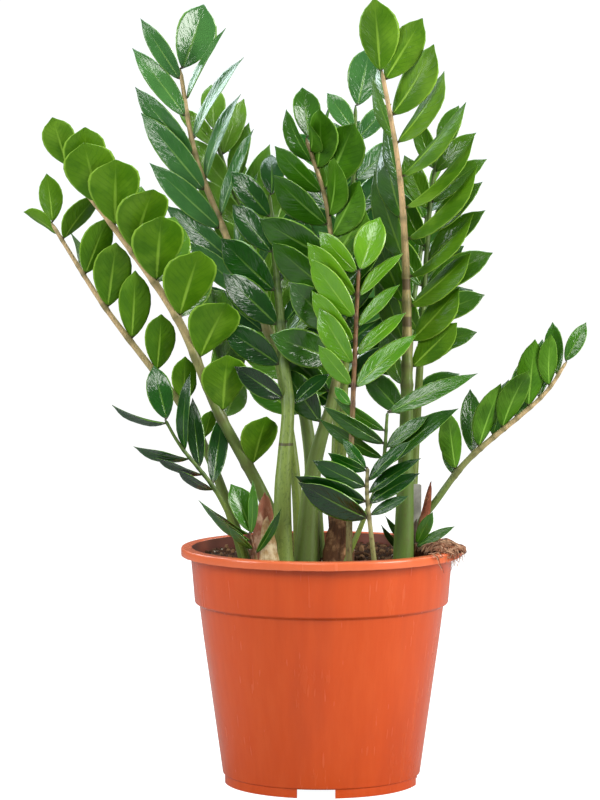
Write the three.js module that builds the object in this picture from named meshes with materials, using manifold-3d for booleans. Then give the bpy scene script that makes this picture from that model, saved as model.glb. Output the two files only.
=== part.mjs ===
// A potted zz plant: arching fronds of waxy leaflets standing in a nursery pot of soil.
// Millimetres, +Z up, the pot's foot on z = 0 and the front of the plant towards -Y.
// The pieces are laid out round the pot's own axis. At the end the whole plant is moved so that
// the origin lies on the floor under the middle of its bounding box.
import * as THREE from "three";
import { mergeVertices } from "three/addons/utils/BufferGeometryUtils.js";
import Module from "manifold-3d";

const wasm = await Module();
wasm.setup();

// ---- Driving dimensions ----

const RIM_RADIUS = 135; // a 27 cm nursery pot, measured across its lip
const POT_HEIGHT = 228;
const POT_SIDES = 48;
const POT_WALL = 1.8;
const LIP_HEIGHT = 8;
const LIP_OVERHANG = 8.7; // how far the lip stands out from the wall
const STEP_HEIGHT = 172; // where the collar steps in to the lower wall
const STEP_RISE = 2.6;
const COLLAR_RADIUS = 122;
const STEP_RADIUS = 117.6;
const BASE_RADIUS = 95.3;
const FOOT_RADIUS = 93.8;
const FOOT_WIDTH = 3;
const FOOT_HEIGHT = 8.5;
const FLOOR_THICKNESS = 2;
const NOTCH = { count: 4, width: 36, first: -93.5 };
const DRAIN = { count: 6, radius: 7, at: 62, sides: 10 };

const CLEARANCE = 0.35; // the gap kept between pieces that touch
const SLOT = 2; // the room round a dry scale in the soil
const SOIL = { level: 216, swell: 2.2, sides: 24, rings: [40, 76, 104] };
const HEAP = { at: [112, -6], height: 8, reach: 34 }; // soil piled up to the lip on the right

// A leaflet is rounded at the base and drawn out to a point. The broader it is for its length, the
// nearer to its tip it is widest: middle is where a mere line would be widest and shift is how much
// further on that lies for a round one. It grows from the stalk on a short neck.
const BLADE = { thickness: 1.4, stations: [0.16, 0.47, 0.79], round: 1.58, middle: 0.38, shift: 0.28 };
const NECK = { half: 1.3, reach: 1.2 };

const LEAF_GREEN = 0x4b8a26;
const DARK_GREEN = 0x2c6a1c;
const BRIGHT_GREEN = 0x86bd3a;

// A rank is a row of leaflets along one side of a stalk. span is where it starts and ends as
// fractions of the stalk's length, lengths are near its foot, halfway and near its tip, and slender
// is width over length. splay is a leaflet's angle from the stalk, around its angle about the stalk
// from the frond's upper side and roll its turn about its own midrib, each given once, or near the
// foot and near the tip, or at the foot, halfway and at the tip, as span may be too. A leaflet whose
// angle around is below zero is turned over. scatter is how far roll varies. All angles are in
// degrees.
const rank = (count, span, lengths, slender, splay, around, roll = 0, scatter = 12) => ({
  count,
  span,
  lengths,
  slender,
  splay,
  around,
  roll: [roll].flat(),
  scatter,
});

// The single leaflet that ends a stalk.
const end = (length, slender, splay = 0, around = 0, roll = 0) =>
  rank(1, [1, 1], [length, length, length], slender, [splay, splay], [around, around], roll, 0);

// One stalk with its leaflets. stalk is its radius at the foot, at the tip and the power by which it
// thins out. upper is the direction that the frond's upper side faces. route runs from inside the
// soil to the tip.
const frond = (name, color, stalk, upper, route, ranks) => ({
  name,
  color,
  foot: stalk[0],
  tip: stalk[1],
  taper: stalk[2],
  upper,
  route,
  ranks,
});

const FRONDS = [
  frond(
    "frond_left_round",
    LEAF_GREEN,
    [7.5, 2.2, 1.2],
    [0.8, 0, 0.6],
    [
      [-34, -29, 178], [-35, -30, 216], [-55, -38, 279], [-98, -54, 362], [-135, -66, 449],
      [-190, -78, 530], [-239, -84, 592],
    ],
    [
      rank(9, [0.3, 0.715, 0.935], [50, 74, 60], 0.72, [18, 46, 26], [-30, -30], -34, 6),
      rank(8, [0.4, 0.93], [58, 78, 52], 0.56, [64, 56], [40, 40], 4, 8),
      end(48, 0.62, 24, 0, 0),
    ],
  ),
  frond(
    "frond_left_low",
    LEAF_GREEN,
    [6, 1.8, 1.2],
    [0.75, 0, 0.66],
    [
      [-74, -12, 184], [-75, -12, 220], [-103, -18, 305], [-132, -24, 363], [-168, -26, 409],
      [-210, -26, 465], [-257, -18, 539],
    ],
    [
      rank(7, [0.39, 0.95], [30, 66, 56], 0.52, [34, 38, 62], [-12, -14, -20], [-12, -12, -58], 8),
      rank(6, [0.48, 0.97], [36, 58, 54], 0.46, [56, 46], [30, 30, 112], -6, 8),
      end(47, 0.57, 27, 0, 6),
    ],
  ),
  frond(
    "frond_left_tall",
    DARK_GREEN,
    [8, 2, 1.3],
    [0.1, -0.95, 0.3],
    [
      [-2, -15, 176], [-3, -15, 214], [-16, -4, 355], [-57, 12, 445], [-96, 22, 536],
      [-122, 27, 606], [-136, 28, 686],
    ],
    [
      rank(8, [0.5, 0.985], [70, 92, 72], 0.28, [24, 31], [-80, -80], 20, 16),
      rank(6, [0.58, 0.94], [74, 92, 80], 0.27, [38, 37], [62, 62], 42, 10),
      end(68, 0.58, 36, 88, -15),
    ],
  ),
  frond(
    "frond_left_inner",
    DARK_GREEN,
    [6, 1.8, 1.2],
    [0.2, -0.95, 0.2],
    [
      [-20, 25, 176], [-21, 25, 212], [-28, 30, 318], [-58, 44, 483], [-91, 50, 584],
      [-106, 52, 628],
    ],
    [
      rank(6, [0.5, 0.96], [66, 72, 54], 0.36, [34, 16], [-75, -75], 20, 20),
      rank(7, [0.52, 0.95], [66, 78, 58], 0.36, [34, 26], [75, 75], 24, 20),
      end(50, 0.5, 12, 90, 0),
    ],
  ),
  frond(
    "frond_left_small",
    DARK_GREEN,
    [3, 1.4, 1],
    [0, -1, 0.1],
    [[-72, -50, 190], [-72, -50, 220], [-97, -60, 282], [-132, -68, 329], [-147, -72, 355]],
    [
      rank(5, [0.565, 0.985], [38, 56, 56], 0.4, [34, 48], [-80, -88], 62, 6),
      rank(3, [0.59, 0.82], [72, 62, 76], 0.24, [48, 24], [110, 66], 24, 8),
      end(57, 0.47, 12, 90, 5),
    ],
  ),
  frond(
    "frond_front_seedling",
    LEAF_GREEN,
    [2.2, 1.2, 1],
    [0, -1, 0],
    [[-61, -94, 190], [-61, -95, 218], [-63, -96, 233], [-68, -98, 252]],
    [
      rank(3, [0.75, 0.975], [32, 56, 58], 0.36, [40, 60], [-78, -78], 50, 6),
      rank(2, [0.68, 0.97], [50, 52, 54], 0.22, [46, 16], [84, 90], -30, 8),
      end(46, 0.59, 14, 90, 0),
    ],
  ),
  frond(
    "frond_left_thick",
    DARK_GREEN,
    [11, 2, 1.25],
    [0.1, -0.9, 0.35],
    [
      [-35, -70, 176], [-36, -70, 214], [-37, -70, 289], [-32, -62, 364], [-36, -48, 411],
      [-46, -8, 523], [-50, 8, 565],
    ],
    [
      rank(6, [0.49, 0.95], [60, 70, 56], 0.46, [62, 30], [-78, -78], 25, 25),
      rank(5, [0.485, 0.88], [42, 66, 56], 0.44, [46, 30], [78, 78], 25, 25),
      end(50, 0.5, 8, 90, 0),
    ],
  ),
  frond(
    "frond_center_curved",
    DARK_GREEN,
    [15.5, 2, 2.6],
    [-0.1, -0.95, 0.3],
    [
      [-15, -49, 176], [-15, -48, 215], [-8, -46, 306], [11, -42, 377], [15, -38, 428],
      [6, -32, 547], [-15, -26, 619],
    ],
    [
      rank(9, [0.385, 0.95], [66, 76, 60], 0.5, [50, 58, 20], [-56, -92], [18, 30, 58], 12),
      rank(6, [0.74, 0.975], [64, 68, 58], 0.6, [40, 38], [-296, -302], 0, 10),
      rank(4, [0.56, 0.71], [62, 66, 70], 0.46, [48, 36], [56, 62], 24, 10),
      end(52, 0.6, 16, 90, -24),
    ],
  ),
  frond(
    "frond_front_bright",
    BRIGHT_GREEN,
    [3.4, 1.7, 1],
    [0, -1, 0.1],
    [[24, -93, 188], [25, -92, 220], [26, -90, 298], [31, -84, 431], [34, -82, 496]],
    [
      rank(7, [0.585, 0.99], [24, 72, 56], 0.42, [42, 54], [-84, -98], 22, 12),
      rank(4, [0.65, 0.92], [74, 61, 60], 0.3, [43, 42], [76, 84], 30, 12),
      end(54, 0.57, 14, 90, 0),
    ],
  ),
  frond(
    "frond_front_dark",
    DARK_GREEN,
    [2.8, 1.6, 1],
    [0, -0.9, 0.35],
    [[50, -98, 190], [49, -98, 220], [42, -102, 283], [42, -104, 313]],
    [
      rank(4, [0.62, 0.985], [80, 66, 38], 0.36, [60, 72], [-72, -72], 26, 12),
      rank(4, [0.64, 0.9], [42, 57, 56], 0.31, [66, 42], [76, 70], 32, 10),
      end(34, 0.3, 39, -90, 0),
    ],
  ),
  frond(
    "frond_front_slim",
    LEAF_GREEN,
    [3, 1.4, 1],
    [0, -0.95, 0.2],
    [[21, -72, 188], [22, -72, 218], [38, -74, 259], [56, -78, 309], [61, -82, 363]],
    [
      rank(3, [0.76, 0.91], [70, 74, 55], 0.22, [66, 62], [-84, -78], 20, 8),
      rank(2, [0.73, 0.82], [90, 70, 48], 0.32, [30, 42], [66, 78], 26, 8),
      end(92, 0.21, 55, 90, 26),
    ],
  ),
  frond(
    "frond_right_tall",
    LEAF_GREEN,
    [11.5, 2, 1.8],
    [0.75, 0.65, 0],
    [
      [77, -50, 176], [77, -50, 215], [79, -54, 304], [80, -58, 431], [77, -60, 532],
      [70, -60, 604], [56, -56, 681],
    ],
    [
      rank(10, [0.445, 0.98], [58, 92, 66], 0.48, [44, 56, 44], [-48, -48], [-8, 72, -4], 8),
      rank(8, [0.42, 0.95], [84, 104, 62], 0.34, [38, 38], [-278, -300], -12, 10),
      end(66, 0.58, -6, 90, -26),
    ],
  ),
  frond(
    "frond_right_back",
    LEAF_GREEN,
    [6, 1.8, 1.2],
    [-0.2, -0.95, 0.2],
    [
      [84, 30, 176], [84, 30, 211], [90, 40, 298], [100, 54, 463], [107, 62, 565],
      [115, 64, 607],
    ],
    [
      rank(7, [0.56, 0.95], [58, 73, 57], 0.4, [64, 34], [92, 58], 4, 14),
      rank(5, [0.6, 0.96], [62, 62, 52], 0.42, [36, 36], [-74, -74], 20, 20),
      end(52, 0.46, 10, 90, 0),
    ],
  ),
  frond(
    "frond_right_arching",
    LEAF_GREEN,
    [4.2, 1.5, 0.9],
    [-0.66, 0, 0.75],
    [
      [86, -12, 188], [87, -12, 217], [94, -14, 250], [110, -16, 274], [143, -18, 316],
      [208, -22, 372], [233, -24, 407],
    ],
    [
      rank(5, [0.46, 0.9], [64, 70, 52], 0.41, [54, 28, 38], [14, 14], -12, 6),
      rank(6, [0.44, 0.94], [44, 70, 56], 0.36, [50, 38], [-26, -40], -18, 10),
      end(43, 0.4, 10, 0, 0),
    ],
  ),
  frond(
    "frond_right_sprig",
    LEAF_GREEN,
    [2, 1.2, 1],
    [0, -1, 0.2],
    [[86, -36, 192], [87, -38, 217], [89, -42, 236]],
    [
      rank(2, [0.64, 0.9], [44, 42, 38], 0.26, [53, 46], [-86, -86], 26, 10),
      rank(1, [0.92, 0.92], [42, 42, 42], 0.24, [64, 64], [88, 88], 28, 0),
      end(36, 0.4, 21, 90, 0),
    ],
  ),
  frond(
    "frond_center_back",
    LEAF_GREEN,
    [6, 1.8, 1.2],
    [0, -0.9, 0.3],
    [
      [16, 40, 176], [16, 40, 211], [20, 44, 317], [28, 46, 521], [32, 44, 599], [33, 42, 651],
    ],
    [
      rank(6, [0.54, 0.95], [58, 60, 44], 0.46, [50, 34], [-74, -74], 14, 16),
      rank(6, [0.56, 0.93], [58, 60, 46], 0.46, [50, 30], [74, 74], 14, 16),
      end(58, 0.58, 8, 90, 0),
    ],
  ),
  frond(
    "frond_rear_left",
    LEAF_GREEN,
    [6, 1.8, 1.2],
    [0, -0.8, 0.6],
    [[-15, 54, 176], [-15, 55, 212], [-13, 75, 314], [-41, 130, 460], [-71, 170, 569]],
    [
      rank(7, [0.42, 0.95], [62, 68, 50], 0.52, [54, 38], [-72, -72], 8, 12),
      rank(7, [0.45, 0.97], [62, 68, 50], 0.52, [54, 38], [72, 72], 8, 12),
      end(50, 0.52),
    ],
  ),
  frond(
    "frond_rear_center",
    DARK_GREEN,
    [6.5, 1.8, 1.2],
    [0.1, -0.85, 0.5],
    [[13, 60, 176], [13, 60, 212], [15, 80, 314], [17, 105, 391], [11, 150, 539], [5, 165, 609]],
    [
      rank(7, [0.42, 0.95], [62, 70, 50], 0.5, [54, 38], [-72, -72], 8, 12),
      rank(7, [0.45, 0.97], [62, 70, 50], 0.5, [54, 38], [72, 72], 8, 12),
      end(50, 0.52),
    ],
  ),
  frond(
    "frond_rear_right",
    LEAF_GREEN,
    [6, 1.8, 1.2],
    [-0.2, -0.8, 0.5],
    [[81, 44, 176], [81, 45, 213], [82, 70, 315], [93, 130, 460], [110, 165, 559]],
    [
      rank(6, [0.44, 0.95], [60, 66, 50], 0.52, [54, 38], [-72, -72], 8, 12),
      rank(6, [0.47, 0.97], [60, 66, 50], 0.52, [54, 38], [72, 72], 8, 12),
      end(50, 0.52),
    ],
  ),
];

// The turns that a leaflet may take, in degrees of splay and of around, and how far it may shrink,
// to stand clear of what is already there. The first that is clear is taken.
const SWINGS = [
  [0, 0], [8, 0], [-8, 0], [0, 12], [0, -12], [8, 12], [-8, -12], [8, -12], [-8, 12],
  [16, 0], [-16, 0], [0, 24], [0, -24], [16, 24], [-16, -24], [16, -24], [-16, 24],
  [24, 12], [24, -12], [0, 40], [0, -40], [24, 40], [24, -40],
];
const SHRINKS = [1, 0.82, 0.64];

// Dry scales that once wrapped a stalk: a curved blade from foot to point. cup is how far it wraps
// round and facing the way it faces about the Z axis, in degrees.
const sheath = (name, color, foot, point, width, cup, facing) => ({
  name,
  color,
  foot,
  point,
  width,
  cup,
  facing,
});

const SHEATHS = [
  sheath("sheath_red", 0xb0705a, [-57, -54, 196], [-54, -54, 283], 27, 70, -100),
  sheath("sheath_straw", 0xd8be84, [-46, -89, 196], [-51, -87, 264], 23, 60, -60),
  sheath("husk_brown", 0x6d4a30, [13, -66, 196], [18, -63, 274], 32, 80, -95),
  sheath("husk_inner", 0x8a6542, [20, -40, 196], [9, -37, 308], 18, 60, -70),
  sheath("husk_slanted", 0x6f5646, [73, -34, 196], [90, -34, 256], 12, 60, -90),
  sheath("sheath_spike", 0x9c4c36, [88, -24, 196], [104, -22, 290], 12, 50, -90),
];
const SHEATH = { thickness: 1.2, stations: [0.25, 0.5, 0.72, 0.88] };

const LABEL = { center: [91, -2, 242], size: [10, 1.2, 92], turn: -8, color: 0xd9d4cc };

// A mat of fine roots that has grown up over the lip.
const ROOTS = { center: [114, -35, 226], size: [24, 28, 10], strands: 5, radius: 1.5, color: 0x7a5236 };

// ---- Shapes ----

const radians = THREE.MathUtils.degToRad;

// A repeatable draw between 0 and 1 for each whole number.
const draw = (n) => {
  const s = Math.sin(n * 12.9898) * 43758.5453;
  return s - Math.floor(s);
};

// A closed solid from a geometry, its vertices merged.
function solid(geometry) {
  const bare = geometry.clone();
  bare.deleteAttribute("normal");
  bare.deleteAttribute("uv");
  const merged = mergeVertices(bare, 1e-4);
  return new wasm.Manifold(
    new wasm.Mesh({
      numProp: 3,
      vertProperties: new Float32Array(merged.attributes.position.array),
      triVerts: new Uint32Array(merged.index.array),
    }),
  );
}

// A geometry from a list of points and of triangles that name them.
function geometryOf(points, triangles) {
  return new THREE.BufferGeometry()
    .setAttribute("position", new THREE.Float32BufferAttribute(points.flatMap((p) => [p.x, p.y, p.z]), 3))
    .setIndex(triangles);
}

// The mesh of a solid, with flat faces.
function meshOf(name, body, color, roughness = 0.5) {
  const m = body.getMesh();
  const geometry = new THREE.BufferGeometry()
    .setAttribute("position", new THREE.BufferAttribute(new Float32Array(m.vertProperties), 3))
    .setIndex(new THREE.BufferAttribute(new Uint32Array(m.triVerts), 1));
  const mesh = new THREE.Mesh(
    geometry,
    new THREE.MeshStandardMaterial({ color, roughness, metalness: 0, flatShading: true }),
  );
  mesh.name = name;
  return mesh;
}

// All of a list of solids joined.
const joined = (solids) => solids.slice(1).reduce((all, s) => all.add(s), solids[0]);

// The largest body of a solid, with any sealed hollow in it filled.
const largest = (body) => body.decompose().reduce((a, b) => (a.volume() > b.volume() ? a : b));

// A body of revolution round the Z axis from [radius, height] pairs that start and end on the axis.
function lathe(profile, sides) {
  const points = profile.map(([r, z]) => new THREE.Vector2(r, z));
  return solid(new THREE.LatheGeometry(points, sides).rotateX(Math.PI / 2));
}

// A tube of rings round a line of points, closed to a point at both ends.
function loft(rings, head, tail) {
  const sides = rings[0].length;
  const points = [...rings.flat(), head, tail];
  const [first, last] = [points.length - 2, points.length - 1];
  const triangles = [];
  for (let k = 0; k < sides; k++) {
    const next = (k + 1) % sides;
    triangles.push(first, next, k);
    for (let i = 0; i + 1 < rings.length; i++) {
      const [low, high] = [i * sides, (i + 1) * sides];
      triangles.push(low + k, low + next, high + next, low + k, high + next, high + k);
    }
    const top = (rings.length - 1) * sides;
    triangles.push(last, top + k, top + next);
  }
  return solid(geometryOf(points, triangles));
}

// A blade from four-point sections [left edge, upper midrib, right edge, lower midrib]. Both faces
// are split alike, from the edge to the midrib further on, so that they never cross.
function bladeSolid(sections, root, tip) {
  const points = [...sections.flat(), root, tip];
  const [first, last] = [points.length - 2, points.length - 1];
  const triangles = [];
  for (const edge of [0, 2]) {
    for (const mid of [1, 3]) {
      const ahead = (mid - edge + 4) % 4 === 1;
      const face = (a, b, c) => triangles.push(...(ahead ? [a, b, c] : [a, c, b]));
      face(first, mid, edge);
      for (let i = 0; i + 1 < sections.length; i++) {
        const [low, high] = [4 * i, 4 * (i + 1)];
        face(low + edge, low + mid, high + mid);
        face(low + edge, high + mid, high + edge);
      }
      const top = 4 * (sections.length - 1);
      face(last, top + edge, top + mid);
    }
  }
  return solid(geometryOf(points, triangles));
}

// ---- The pot ----

function potProfile() {
  const lipInside = RIM_RADIUS - LIP_OVERHANG;
  const underLip = POT_HEIGHT - POT_WALL;
  return [
    [0, FOOT_HEIGHT],
    [FOOT_RADIUS - FOOT_WIDTH, FOOT_HEIGHT],
    [FOOT_RADIUS - FOOT_WIDTH, 0],
    [FOOT_RADIUS, 0],
    [FOOT_RADIUS, FOOT_HEIGHT],
    [BASE_RADIUS, FOOT_HEIGHT + 1],
    [STEP_RADIUS, STEP_HEIGHT],
    [COLLAR_RADIUS, STEP_HEIGHT + STEP_RISE],
    [lipInside, underLip],
    [RIM_RADIUS - POT_WALL, underLip],
    [RIM_RADIUS - POT_WALL, POT_HEIGHT - LIP_HEIGHT],
    [RIM_RADIUS, POT_HEIGHT - LIP_HEIGHT],
    [RIM_RADIUS, POT_HEIGHT - 1.2],
    [RIM_RADIUS - 1.2, POT_HEIGHT],
    [lipInside - 1, POT_HEIGHT],
    [lipInside - POT_WALL, POT_HEIGHT - 0.8],
    ...innerWall(0),
    [0, FOOT_HEIGHT + FLOOR_THICKNESS],
  ];
}

// The inner wall from the collar down to the floor, drawn in by a gap.
const innerWall = (gap) => [
  [COLLAR_RADIUS - POT_WALL - gap, STEP_HEIGHT + STEP_RISE + 1 + gap],
  [STEP_RADIUS - POT_WALL - gap, STEP_HEIGHT + 1 + gap],
  [BASE_RADIUS - 1.4 - gap, FOOT_HEIGHT + FLOOR_THICKNESS + gap],
];

function potSolid() {
  let pot = lathe(potProfile(), POT_SIDES);
  for (let i = 0; i < NOTCH.count; i++) {
    const cut = new THREE.BoxGeometry(4 * FOOT_WIDTH, NOTCH.width, 2 * FOOT_HEIGHT)
      .translate(FOOT_RADIUS - FOOT_WIDTH, 0, 0)
      .rotateZ(radians(NOTCH.first + (360 / NOTCH.count) * i));
    pot = pot.subtract(solid(cut));
  }
  for (let i = 0; i < DRAIN.count; i++) {
    const hole = new THREE.CylinderGeometry(DRAIN.radius, DRAIN.radius, 3 * FLOOR_THICKNESS, DRAIN.sides)
      .rotateX(Math.PI / 2)
      .translate(DRAIN.at, 0, FOOT_HEIGHT + FLOOR_THICKNESS / 2)
      .rotateZ((2 * Math.PI * i) / DRAIN.count);
    pot = pot.subtract(solid(hole));
  }
  return pot;
}

// ---- The soil ----

// How high the soil stands at a point: gently uneven, with a heap against the lip.
function soilHeight(x, y) {
  const uneven = Math.sin(0.09 * x + 0.5) * Math.cos(0.08 * y) + 0.6 * Math.sin(0.17 * x - 0.13 * y);
  const away = Math.hypot(x - HEAP.at[0], y - HEAP.at[1]) / HEAP.reach;
  return SOIL.level + SOIL.swell * uneven + HEAP.height * Math.exp(-away * away);
}

function soilSolid() {
  const wall = innerWall(CLEARANCE + 0.1);
  const slope = (RIM_RADIUS - LIP_OVERHANG - COLLAR_RADIUS) / (POT_HEIGHT - STEP_HEIGHT);
  const brim = wall[0][0] + slope * (SOIL.level - STEP_HEIGHT - 6);
  const ringAt = (radius, height) =>
    Array.from({ length: SOIL.sides }, (_, k) => {
      const a = (2 * Math.PI * k) / SOIL.sides;
      const [x, y] = [radius * Math.cos(a), radius * Math.sin(a)];
      return new THREE.Vector3(x, y, height ?? soilHeight(x, y));
    });
  const rings = [...wall].reverse().map(([r, z]) => ringAt(r, z));
  const top = [brim, ...[...SOIL.rings].reverse()].map((r) => ringAt(r));
  const middle = new THREE.Vector3(0, 0, soilHeight(0, 0));
  return loft([...rings, ...top], new THREE.Vector3(0, 0, wall[2][1]), middle);
}

// ---- Stalks and leaflets ----

// Where a stalk is at a fraction u of its length, how it points and how thick it is.
class Stalk {
  constructor(spec) {
    this.spec = spec;
    this.curve = new THREE.CatmullRomCurve3(
      spec.route.map((p) => new THREE.Vector3(...p)),
      false,
      "catmullrom",
      0.5,
    );
  }

  radius(u) {
    const { foot, tip, taper } = this.spec;
    return tip + (foot - tip) * (1 - u) ** taper;
  }

  // The stalk's own axes at u: along it, to its upper side and across.
  axes(u) {
    const along = this.curve.getTangentAt(u);
    const upper = new THREE.Vector3(...this.spec.upper);
    upper.addScaledVector(along, -upper.dot(along)).normalize();
    return { along, upper, across: along.clone().cross(upper) };
  }

  // The direction out of the stalk at an angle about it from its upper side.
  outward(u, around) {
    const { upper, across } = this.axes(u);
    return upper.multiplyScalar(Math.cos(around)).addScaledVector(across, Math.sin(around));
  }

  solid(grow = 0) {
    const sides = this.spec.foot > 7 ? 7 : 6;
    const steps = Math.max(4, Math.round(this.curve.getLength() / 55));
    const rings = [];
    for (let i = 0; i <= steps; i++) {
      const u = i / steps;
      const center = this.curve.getPointAt(u);
      const ring = Array.from({ length: sides }, (_, k) =>
        this.outward(u, (2 * Math.PI * k) / sides).multiplyScalar(this.radius(u) + grow).add(center),
      );
      rings.push(ring);
    }
    const ends = [0, 1].map((u) => this.curve.getPointAt(u));
    const [foot, tip] = [0, 1].map((u) => this.curve.getTangentAt(u));
    return loft(rings, ends[0].addScaledVector(foot, -grow - 1), ends[1].addScaledVector(tip, grow + 1));
  }
}

// One value of a rank at t from 0 at its foot to 1 at its tip, from one, two or three given ones.
function along(values, t) {
  const [near, far] = [values[0], values[values.length - 1]];
  const middle = values.length === 3 ? values[1] : (near + far) / 2;
  return near * (1 - t) * (1 - 2 * t) + 4 * middle * t * (1 - t) + far * t * (2 * t - 1);
}

// Where a leaflet stands and how it is shaped, before it is swung clear of others.
function leafletOf(row, seed, k) {
  const t = row.count > 1 ? k / (row.count - 1) : 0.5;
  const vary = (n, span) => span * (2 * draw(seed + 17 * k + n) - 1);
  const length = along(row.lengths, t) * (1 + vary(1, 0.07));
  return {
    u: along(row.span, t) + (row.count > 1 ? vary(2, 0.006) : 0),
    length,
    width: length * row.slender * (1 + vary(3, 0.08)),
    splay: radians(along(row.splay, t) + vary(4, 5)),
    around: radians(along(row.around, t) + vary(5, 6)),
    roll: radians(along(row.roll, t) + vary(6, row.scatter)),
    fold: radians(14 + vary(7, 6)),
    bend: 0.3 + vary(8, 0.24),
  };
}

// A leaflet on its stalk, swung by some degrees and shrunk, and grown all round by a margin where it
// is only tried for room: the whole of it, and the part of its blade that stands off the stalk.
function leafletSolid(stalk, leaf, [moreSplay, moreAround], shrink, margin = 0) {
  const { u, roll, fold, bend } = leaf;
  const splay = leaf.splay + radians(moreSplay);
  const around = leaf.around + radians(moreAround);
  const trunk = stalk.curve.getPointAt(u);
  const { along: stem } = stalk.axes(u);
  const out = stalk.outward(u, around);
  const lengthwise = stem.clone().multiplyScalar(Math.cos(splay)).addScaledVector(out, Math.sin(splay));
  const flat = out.clone().multiplyScalar(Math.cos(splay)).addScaledVector(stem, -Math.sin(splay));
  if (around < 0) flat.negate();
  const face = flat.clone().cross(lengthwise);
  const widthwise = flat.clone().multiplyScalar(Math.cos(roll)).addScaledVector(face, Math.sin(roll));
  const upward = face.multiplyScalar(Math.cos(roll)).addScaledVector(flat, -Math.sin(roll));
  const base = trunk.clone().addScaledVector(out, stalk.radius(u));
  const length = leaf.length * shrink + margin;
  const half = (leaf.width * shrink) / 2 + margin;
  const thick = BLADE.thickness / 2 + margin;

  // s runs along the midrib, q from edge to edge and lift is out of the upper face.
  const point = (s, q, lift) => {
    const w = half * outline(s, leaf.width / leaf.length) * q;
    return base
      .clone()
      .addScaledVector(lengthwise, (length * Math.sin(bend * s)) / bend)
      .addScaledVector(upward, (-length * (1 - Math.cos(bend * s))) / bend)
      .addScaledVector(widthwise, w * Math.cos(fold))
      .addScaledVector(upward, Math.abs(w) * Math.sin(fold) + lift);
  };
  const sections = BLADE.stations.map((s) => [
    point(s, -1, 0),
    point(s, 0, thick),
    point(s, 1, 0),
    point(s, 0, -thick),
  ]);
  const neck = [[-1, 0], [0, 0.5], [1, 0], [0, -0.5]].map(([q, lift]) =>
    base
      .clone()
      .addScaledVector(lengthwise, NECK.reach)
      .addScaledVector(widthwise, NECK.half * q)
      .addScaledVector(upward, BLADE.thickness * lift),
  );
  return {
    whole: bladeSolid([neck, ...sections], trunk, point(1, 0, 0)),
    beyond: bladeSolid(sections.slice(0, 2), point(0.1, 0, 0), point(0.6, 0, 0)),
  };
}

// A leaflet's half width at s, as a fraction of its widest, by its width over its length.
function outline(s, slender) {
  const widest = BLADE.middle + BLADE.shift * slender;
  const rise = (s / widest) ** (BLADE.round * widest);
  return rise * ((1 - s) / (1 - widest)) ** (BLADE.round * (1 - widest));
}

const meet = (a, b) => a.intersect(b).volume() > 0;

// Two boxes of solids overlap.
const near = (a, b) => [0, 1, 2].every((i) => a.min[i] < b.max[i] && b.min[i] < a.max[i]);

// Puts every leaflet on its stalk, swung clear of the stalks and leaflets that are already there.
function grow(stalks, others) {
  const taken = others.map((body) => ({ owner: null, body, box: body.boundingBox() }));
  stalks.forEach((stalk) => {
    const body = stalk.solid();
    taken.push({ owner: stalk, stem: true, body, box: body.boundingBox() });
  });
  const parts = new Map(stalks.map((stalk) => [stalk, [stalk.solid()]]));
  stalks.forEach((stalk, order) => {
    stalk.spec.ranks.forEach((row, r) => {
      for (let k = 0; k < row.count; k++) {
        const leaf = leafletOf(row, 1000 * order + 300 * r, k);
        const blade = clearBlade(stalk, leaf, taken);
        if (!blade) continue;
        parts.get(stalk).push(blade);
        taken.push({ owner: stalk, body: blade, box: blade.boundingBox() });
      }
    });
  });
  return stalks.map((stalk) => largest(joined(parts.get(stalk))));
}

// The first swing of a leaflet that leaves it clear of all that is there, or nothing.
function clearBlade(stalk, leaf, taken) {
  for (const shrink of SHRINKS) {
    for (const swing of SWINGS) {
      const wide = leafletSolid(stalk, leaf, swing, shrink, 2 * CLEARANCE).whole;
      const { whole, beyond } = leafletSolid(stalk, leaf, swing, shrink);
      const box = wide.boundingBox();
      const clear = taken.every((t) => {
        if (!near(box, t.box)) return true;
        if (t.owner !== stalk) return !meet(wide, t.body);
        return !meet(t.stem ? beyond : whole, t.body);
      });
      if (clear) return whole;
    }
  }
  return null;
}

// ---- Sheaths, label and roots ----

// A dry scale standing in the soil, curved round its own length.
function sheathSolid({ foot, point, width, cup, facing }, margin = 0) {
  const [low, high] = [new THREE.Vector3(...foot), new THREE.Vector3(...point)];
  const rise = high.clone().sub(low);
  const up = rise.clone().normalize();
  const front = new THREE.Vector3(Math.cos(radians(facing)), Math.sin(radians(facing)), 0);
  front.addScaledVector(up, -front.dot(up)).normalize();
  const across = up.clone().cross(front);
  const place = (s, q, lift) => {
    const w = (width / 2) * Math.sqrt(1 - s * s) * q;
    return low
      .clone()
      .addScaledVector(rise, s)
      .addScaledVector(across, w * (1 + margin / width))
      .addScaledVector(front, lift - Math.abs(q) * width * 0.25 * Math.tan(radians(cup) / 2));
  };
  const thick = SHEATH.thickness / 2 + margin;
  const wide = 1 + (2 * margin) / width;
  const sections = [0, ...SHEATH.stations].map((s) => [
    place(s, -wide, 0),
    place(s, 0, thick),
    place(s, wide, 0),
    place(s, 0, -thick),
  ]);
  const heel = low.clone().addScaledVector(up, -2 - margin);
  return bladeSolid(sections, heel, high.clone().addScaledVector(up, margin));
}

function labelSolid(margin = 0) {
  const grown = LABEL.size.map((d) => d + 2 * margin);
  return solid(new THREE.BoxGeometry(...grown).rotateZ(radians(LABEL.turn)).translate(...LABEL.center));
}

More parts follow.
